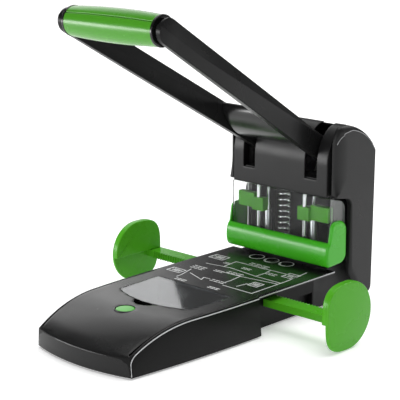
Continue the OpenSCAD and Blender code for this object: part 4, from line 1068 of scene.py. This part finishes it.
def grip_shell(start, cols=60, rows=45, roll=1.3):
    """Half turn of a barrel r = mid - (mid - end)(x / half)^2 round the tube, closed all round.

    Near a long edge the outer skin drops on a quarter circle of radius roll, which leaves a groove."""
    x = GRIP_HALF * np.linspace(-1, 1, rows)[:, None]
    r = GRIP_MID_R - (GRIP_MID_R - GRIP_END_R) * (x / GRIP_HALF) ** 2
    t = 0.5 - 0.5 * np.cos(np.pi * np.linspace(0, 1, cols)[None, :])
    gap = SPLIT_GAP / GRIP_MID_R
    angle = start + gap + (np.pi - 2 * gap) * t
    near = np.clip(np.minimum(t, 1 - t) * np.pi * r, 0, roll)
    outer = r - (roll - np.sqrt(roll ** 2 - (roll - near) ** 2))
    radius = np.concatenate([outer, np.full((rows, cols), GRIP_TUBE_R)], 1)
    angle = np.concatenate([angle, angle[:, ::-1]], 1)
    y, z = GRIP_Y - radius * np.cos(angle), GRIP_Z + radius * np.sin(angle)
    k = np.arange(cols - 1)
    strip = np.stack([k, k + 1, 2 * cols - 2 - k, 2 * cols - 1 - k], 1)
    ends = np.concatenate([strip, strip + (rows - 1) * 2 * cols]).tolist()
    points = np.stack(np.broadcast_arrays(x, y, z), -1).reshape(-1, 3)
    return points, ring_faces(rows, 2 * cols, capped=False) + ends


for side, start in (("front", SPLIT - np.pi), ("rear", SPLIT)):
    piece("grip_" + side + "_skin", grip_shell(start), grip_green_and_shade, "lever",
          ("grip_" + side + "_shell",))
near_x, far_x = COLLAR_X
near_round = arc_points((COLLAR_R, near_x + COLLAR_SOFT), COLLAR_SOFT, -np.pi / 2, 0, 6)
far_round = arc_points((COLLAR_R, far_x - COLLAR_SOFT), COLLAR_SOFT, 0, np.pi / 2, 6)
collar_rows = np.concatenate([[(GRIP_TUBE_R, near_x)], near_round, far_round, [(GRIP_TUBE_R, far_x)]])
both_sides("collar", turned(collar_rows, (GRIP_Y, GRIP_Z), 72, "x"), collar_black, "lever")

# %% [markdown]
# The tray carries printed marks: a plain chart of lines with small pictures of sheets, and three rings
# in front of the guard. Print is a film of ink. It could be a pattern in the material, but narrow
# ribbons just above the plate stay crisp from close by, and each needs only a few points.

# %% Printed marks
INK_Z = TRAY_Z + 0.06
LINE_INK, EDGE_INK, BAR_INK, DASH_INK, HOLE_INK, MOON_INK = 1.3, 1.4, 1.6, 1.8, 0.7, 2.2


def ribbon(path, width, closed=False):
    """Flat ribbon of constant width along a path in plan, mitred at its bends."""
    path = np.asarray(path, float)
    step = np.roll(path, -1, 0) - path
    ahead, behind = unit(step), unit(np.roll(step, 1, 0))
    if not closed:
        ahead[-1], behind[0] = behind[-1], ahead[0]
    run = unit(ahead + behind)
    reach = width / 2 / np.maximum(0.4, (run * ahead).sum(1, keepdims=True))
    side = np.stack([-run[:, 1], run[:, 0]], 1) * reach
    both = np.stack([path - side, path + side], 1)
    points = np.concatenate([both, np.full(both.shape[:2] + (1,), INK_Z)], -1).reshape(-1, 3)
    k = np.arange(len(path) if closed else len(path) - 1)
    n = (k + 1) % len(path)
    return points, np.stack([2 * k, 2 * n, 2 * n + 1, 2 * k + 1], 1).tolist()


def sheet_picture(x, y, wide, deep):
    """Picture of a punched sheet: its edge, two holes and three lines of writing as plain bars."""
    edge = [(x, y), (x + wide, y), (x + wide, y + deep), (x, y + deep)]
    left, right, margin = x + 0.25 * wide, x + 0.85 * wide, x + 0.1 * wide
    bars = [ribbon([(left, y + f * deep), (right, y + f * deep)], BAR_INK) for f in (0.3, 0.5, 0.7)]
    holes = [ribbon(circle(0.9, (margin, y + f * deep), 12), HOLE_INK, True) for f in (0.3, 0.7)]
    return joined(ribbon(edge, EDGE_INK, True), *bars, *holes)


def dash_rows(x, y, wide, count, pitch):
    """Short rows of plain dashes, one under another."""
    rows = []
    for k in range(count):
        rows += [ribbon([(x + wide * a, y - pitch * k), (x + wide * b, y - pitch * k)], DASH_INK)
                 for a, b in ((0, 0.22), (0.28, 0.58), (0.64, 1))]
    return joined(*rows)


CHART = [[(-32, 66), (-33.8, 80.4), (-34.9, 94.1), (24.1, 95.2), (66, 96)],
         [(-22, 67.4), (28.2, 61), (28.6, 79.8), (25.3, 95)],
         [(-45, 14.3), (-13.2, 2.2), (-17.3, 11.3), (-6.9, 12)],
         [(23, 3.2), (73, 2.2), (71.9, 71.3), (67, 119)],
         [(17.1, 12.2), (17.5, 23.7), (14, 46.9), (71.4, 54.6)],
         [(39.4, 11.2), (42.1, 29.8)], [(-46.3, -10), (-47.4, 0.4), (-55.6, 27.8)], [(-60, 61), (-22, 67)],
         [(28, 61), (71.5, 60)], [(-14, 46), (14, 46.9)]]
PICTURES = [(-78, 86, 24, 16), (-78, 4, 22, 14), (53, 84, 17, 18), (45, 26, 15, 15)]
DASHES = [(-64, 44, 22, 3, 5), (-44, 82, 12, 2, 4), (-42, -14, 18, 2, 4), (14, -12, 18, 2, 4),
           (-4, 13, 24, 2, 5), (-12, 54, 26, 2, 5), (-30, 47, 16, 2, 4), (-16, 104, 32, 3, 5),
           (-10, 80, 15, 2, 4), (30, 84, 16, 2, 5)]
CIRCLE_X, CIRCLE_Y, CIRCLE_R, MOON_R = (-30.5, -4.5, 21.5), 131.5, 10.2, 9.2
marks = [ribbon(path, LINE_INK) for path in CHART]
marks += [sheet_picture(*row) for row in PICTURES]
marks += [dash_rows(*row) for row in DASHES]
marks += [ribbon(circle(CIRCLE_R, (x, CIRCLE_Y), 48), LINE_INK, True) for x in CIRCLE_X]
marks += [ribbon(circle(MOON_R, (x, CIRCLE_Y), 48)[24:41], MOON_INK) for x in CIRCLE_X[1:]]
piece("printed_chart", joined(*marks), print_white, "frame", facing=(0, 0, 1))

# %% [markdown]
# The pieces of the mechanism keep their CAD shape, because a turned pin or a milled plate is
# already right. They only need the finish of what they are made of.

# %% Finishes of the mechanism
INNER = [
    (base_black, "base_tub rear_tub bottom_plate parts_bin rack_carrier chip_drawer"),
    (foot_rubber, "rubber_feet"), (tray_grey, "die_plate"), (cast_block, "die_block"),
    (bush_brass, "pivot_bushes"),
    (bright_steel, "lid_hinge_pin pinion_axle pivot_shaft guide_posts left_punch_pin right_punch_pin"),
    (dark_steel, "paper_stop left_frame_plate right_frame_plate head_plate press_bar"),
    (plain_steel, "cam_tube"), (arm_grey, "grip_tube"), (gear_plastic, "rack_pinion"),
    (guide_green, "right_rack left_rack left_pin_holder right_pin_holder")]


def wear_finish(node, material):
    """Put one material in every slot of a CAD node's object."""
    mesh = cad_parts[node].data
    mesh.materials.clear()
    mesh.materials.append(material)


for material, nodes in INNER:
    for node in nodes.split():
        wear_finish(node, material)
print(sum(len(nodes.split()) for material, nodes in INNER), "CAD nodes dressed")

# %% [markdown]
# The studio is a pale floor, lit like a light table, under one broad soft sun. Black plastic shows
# mostly reflections, and a bright sky would wash it out. So each light panel stands where a shell has to
# mirror it: behind on the left for the lid and the tray, low on the left for the web and the grip, high
# behind for the rims, and a weak fill in front. The sky is white only where the camera sees it.

# %% Studio
FLOOR_HALF, FLOOR_GLOW, SKY_DIM = 8, 0.31, 0.15
SUN_STRENGTH, SUN_SPREAD, SUN_TILT = 2.3, 62, (-9, 2, 0)


def floor_sheet():
    """Large level sheet with a plain matt finish that glows faintly, like a lit table."""
    mesh = bpy.data.meshes.new("studio_floor")
    corners = [(-1, -1, 0), (1, -1, 0), (1, 1, 0), (-1, 1, 0)]
    mesh.from_pydata((FLOOR_HALF * np.array(corners)).tolist(), [], [(0, 1, 2, 3)])
    made = bpy.data.objects.new("studio_floor", mesh)
    bpy.context.scene.collection.objects.link(made)
    fixed = {SPEC: 0.1, "Emission Color": (1, 1, 1, 1), "Emission Strength": FLOOR_GLOW}
    mesh.materials.append(finish("floor_white", MOULDED, (0.90,) * 3, (0.92,) * 3, 0.8, 0.9, 40, 0.0, fixed))


def soft_light(name, place, aim, width, height, power, roll=0.0):
    """Area light at a place, looking at a point, rolled about its own axis by an angle."""
    data = bpy.data.lights.new(name, "AREA")
    data.shape = "RECTANGLE"
    data.size, data.size_y, data.energy = width, height, power
    made = bpy.data.objects.new(name, data)
    back = unit(np.array(place, float) - np.array(aim, float))
    level = unit(np.cross((0, 0, 1), back))
    right = math.cos(roll) * level + math.sin(roll) * np.cross(back, level)
    axes = np.column_stack([right, np.cross(back, right), back, place])
    made.matrix_world = Matrix(axes.tolist() + [[0, 0, 0, 1]])
    bpy.context.scene.collection.objects.link(made)


def soft_sun(strength, spread, tilt):
    """Sun with a wide disc, which gives soft shadows, turned from straight down by two angles."""
    data = bpy.data.lights.new("sky_light", "SUN")
    data.energy, data.angle = strength, math.radians(spread)
    made = bpy.data.objects.new("sky_light", data)
    made.rotation_euler = [math.radians(a) for a in tilt]
    bpy.context.scene.collection.objects.link(made)


def studio_world(dim):
    """White for camera rays and a dim grey for all other rays."""
    world = bpy.data.worlds.new("studio")
    world.use_nodes = True
    tree = world.node_tree
    dull = tree.nodes["Background"]
    dull.inputs["Color"].default_value = (dim, dim, dim, 1)
    white = tree.nodes.new("ShaderNodeBackground")
    rays = tree.nodes.new("ShaderNodeLightPath")
    mix = tree.nodes.new("ShaderNodeMixShader")
    tree.links.new(rays.outputs["Is Camera Ray"], mix.inputs["Fac"])
    tree.links.new(dull.outputs["Background"], mix.inputs[1])
    tree.links.new(white.outputs["Background"], mix.inputs[2])
    tree.links.new(mix.outputs["Shader"], tree.nodes["World Output"].inputs["Surface"])
    bpy.context.scene.world = world


floor_sheet()
soft_sun(SUN_STRENGTH, SUN_SPREAD, SUN_TILT)
LIGHTS = [("back_panel", (-2.70, 1.36, 1.09), (0, -0.06, 0.05), 1.95, 1.8, 16, math.radians(11)),
          ("back_high", (-2.02, 0.94, 2.0), (0, -0.15, 0.05), 1.6, 1.0, 6),
          ("left_strip", (-1.7, -1.9, 0.34), (0, 0, 0.3), 1.6, 0.5, 30),
          ("right_high", (1.75, 1.85, 1.4), (0, 0, 0.3), 2.0, 1.0, 3),
          ("back_rim", (0.55, 2.0, 1.8), (0, 0, 0.2), 1.2, 0.5, 12),
          ("front_fill", (1.5, -2.3, 0.8), (0, 0, 0.15), 2.0, 1.2, 19)]
for row in LIGHTS:
    soft_light(*row)
studio_world(SKY_DIM)
bpy.context.scene.view_settings.view_transform = "Standard"
print("studio ready")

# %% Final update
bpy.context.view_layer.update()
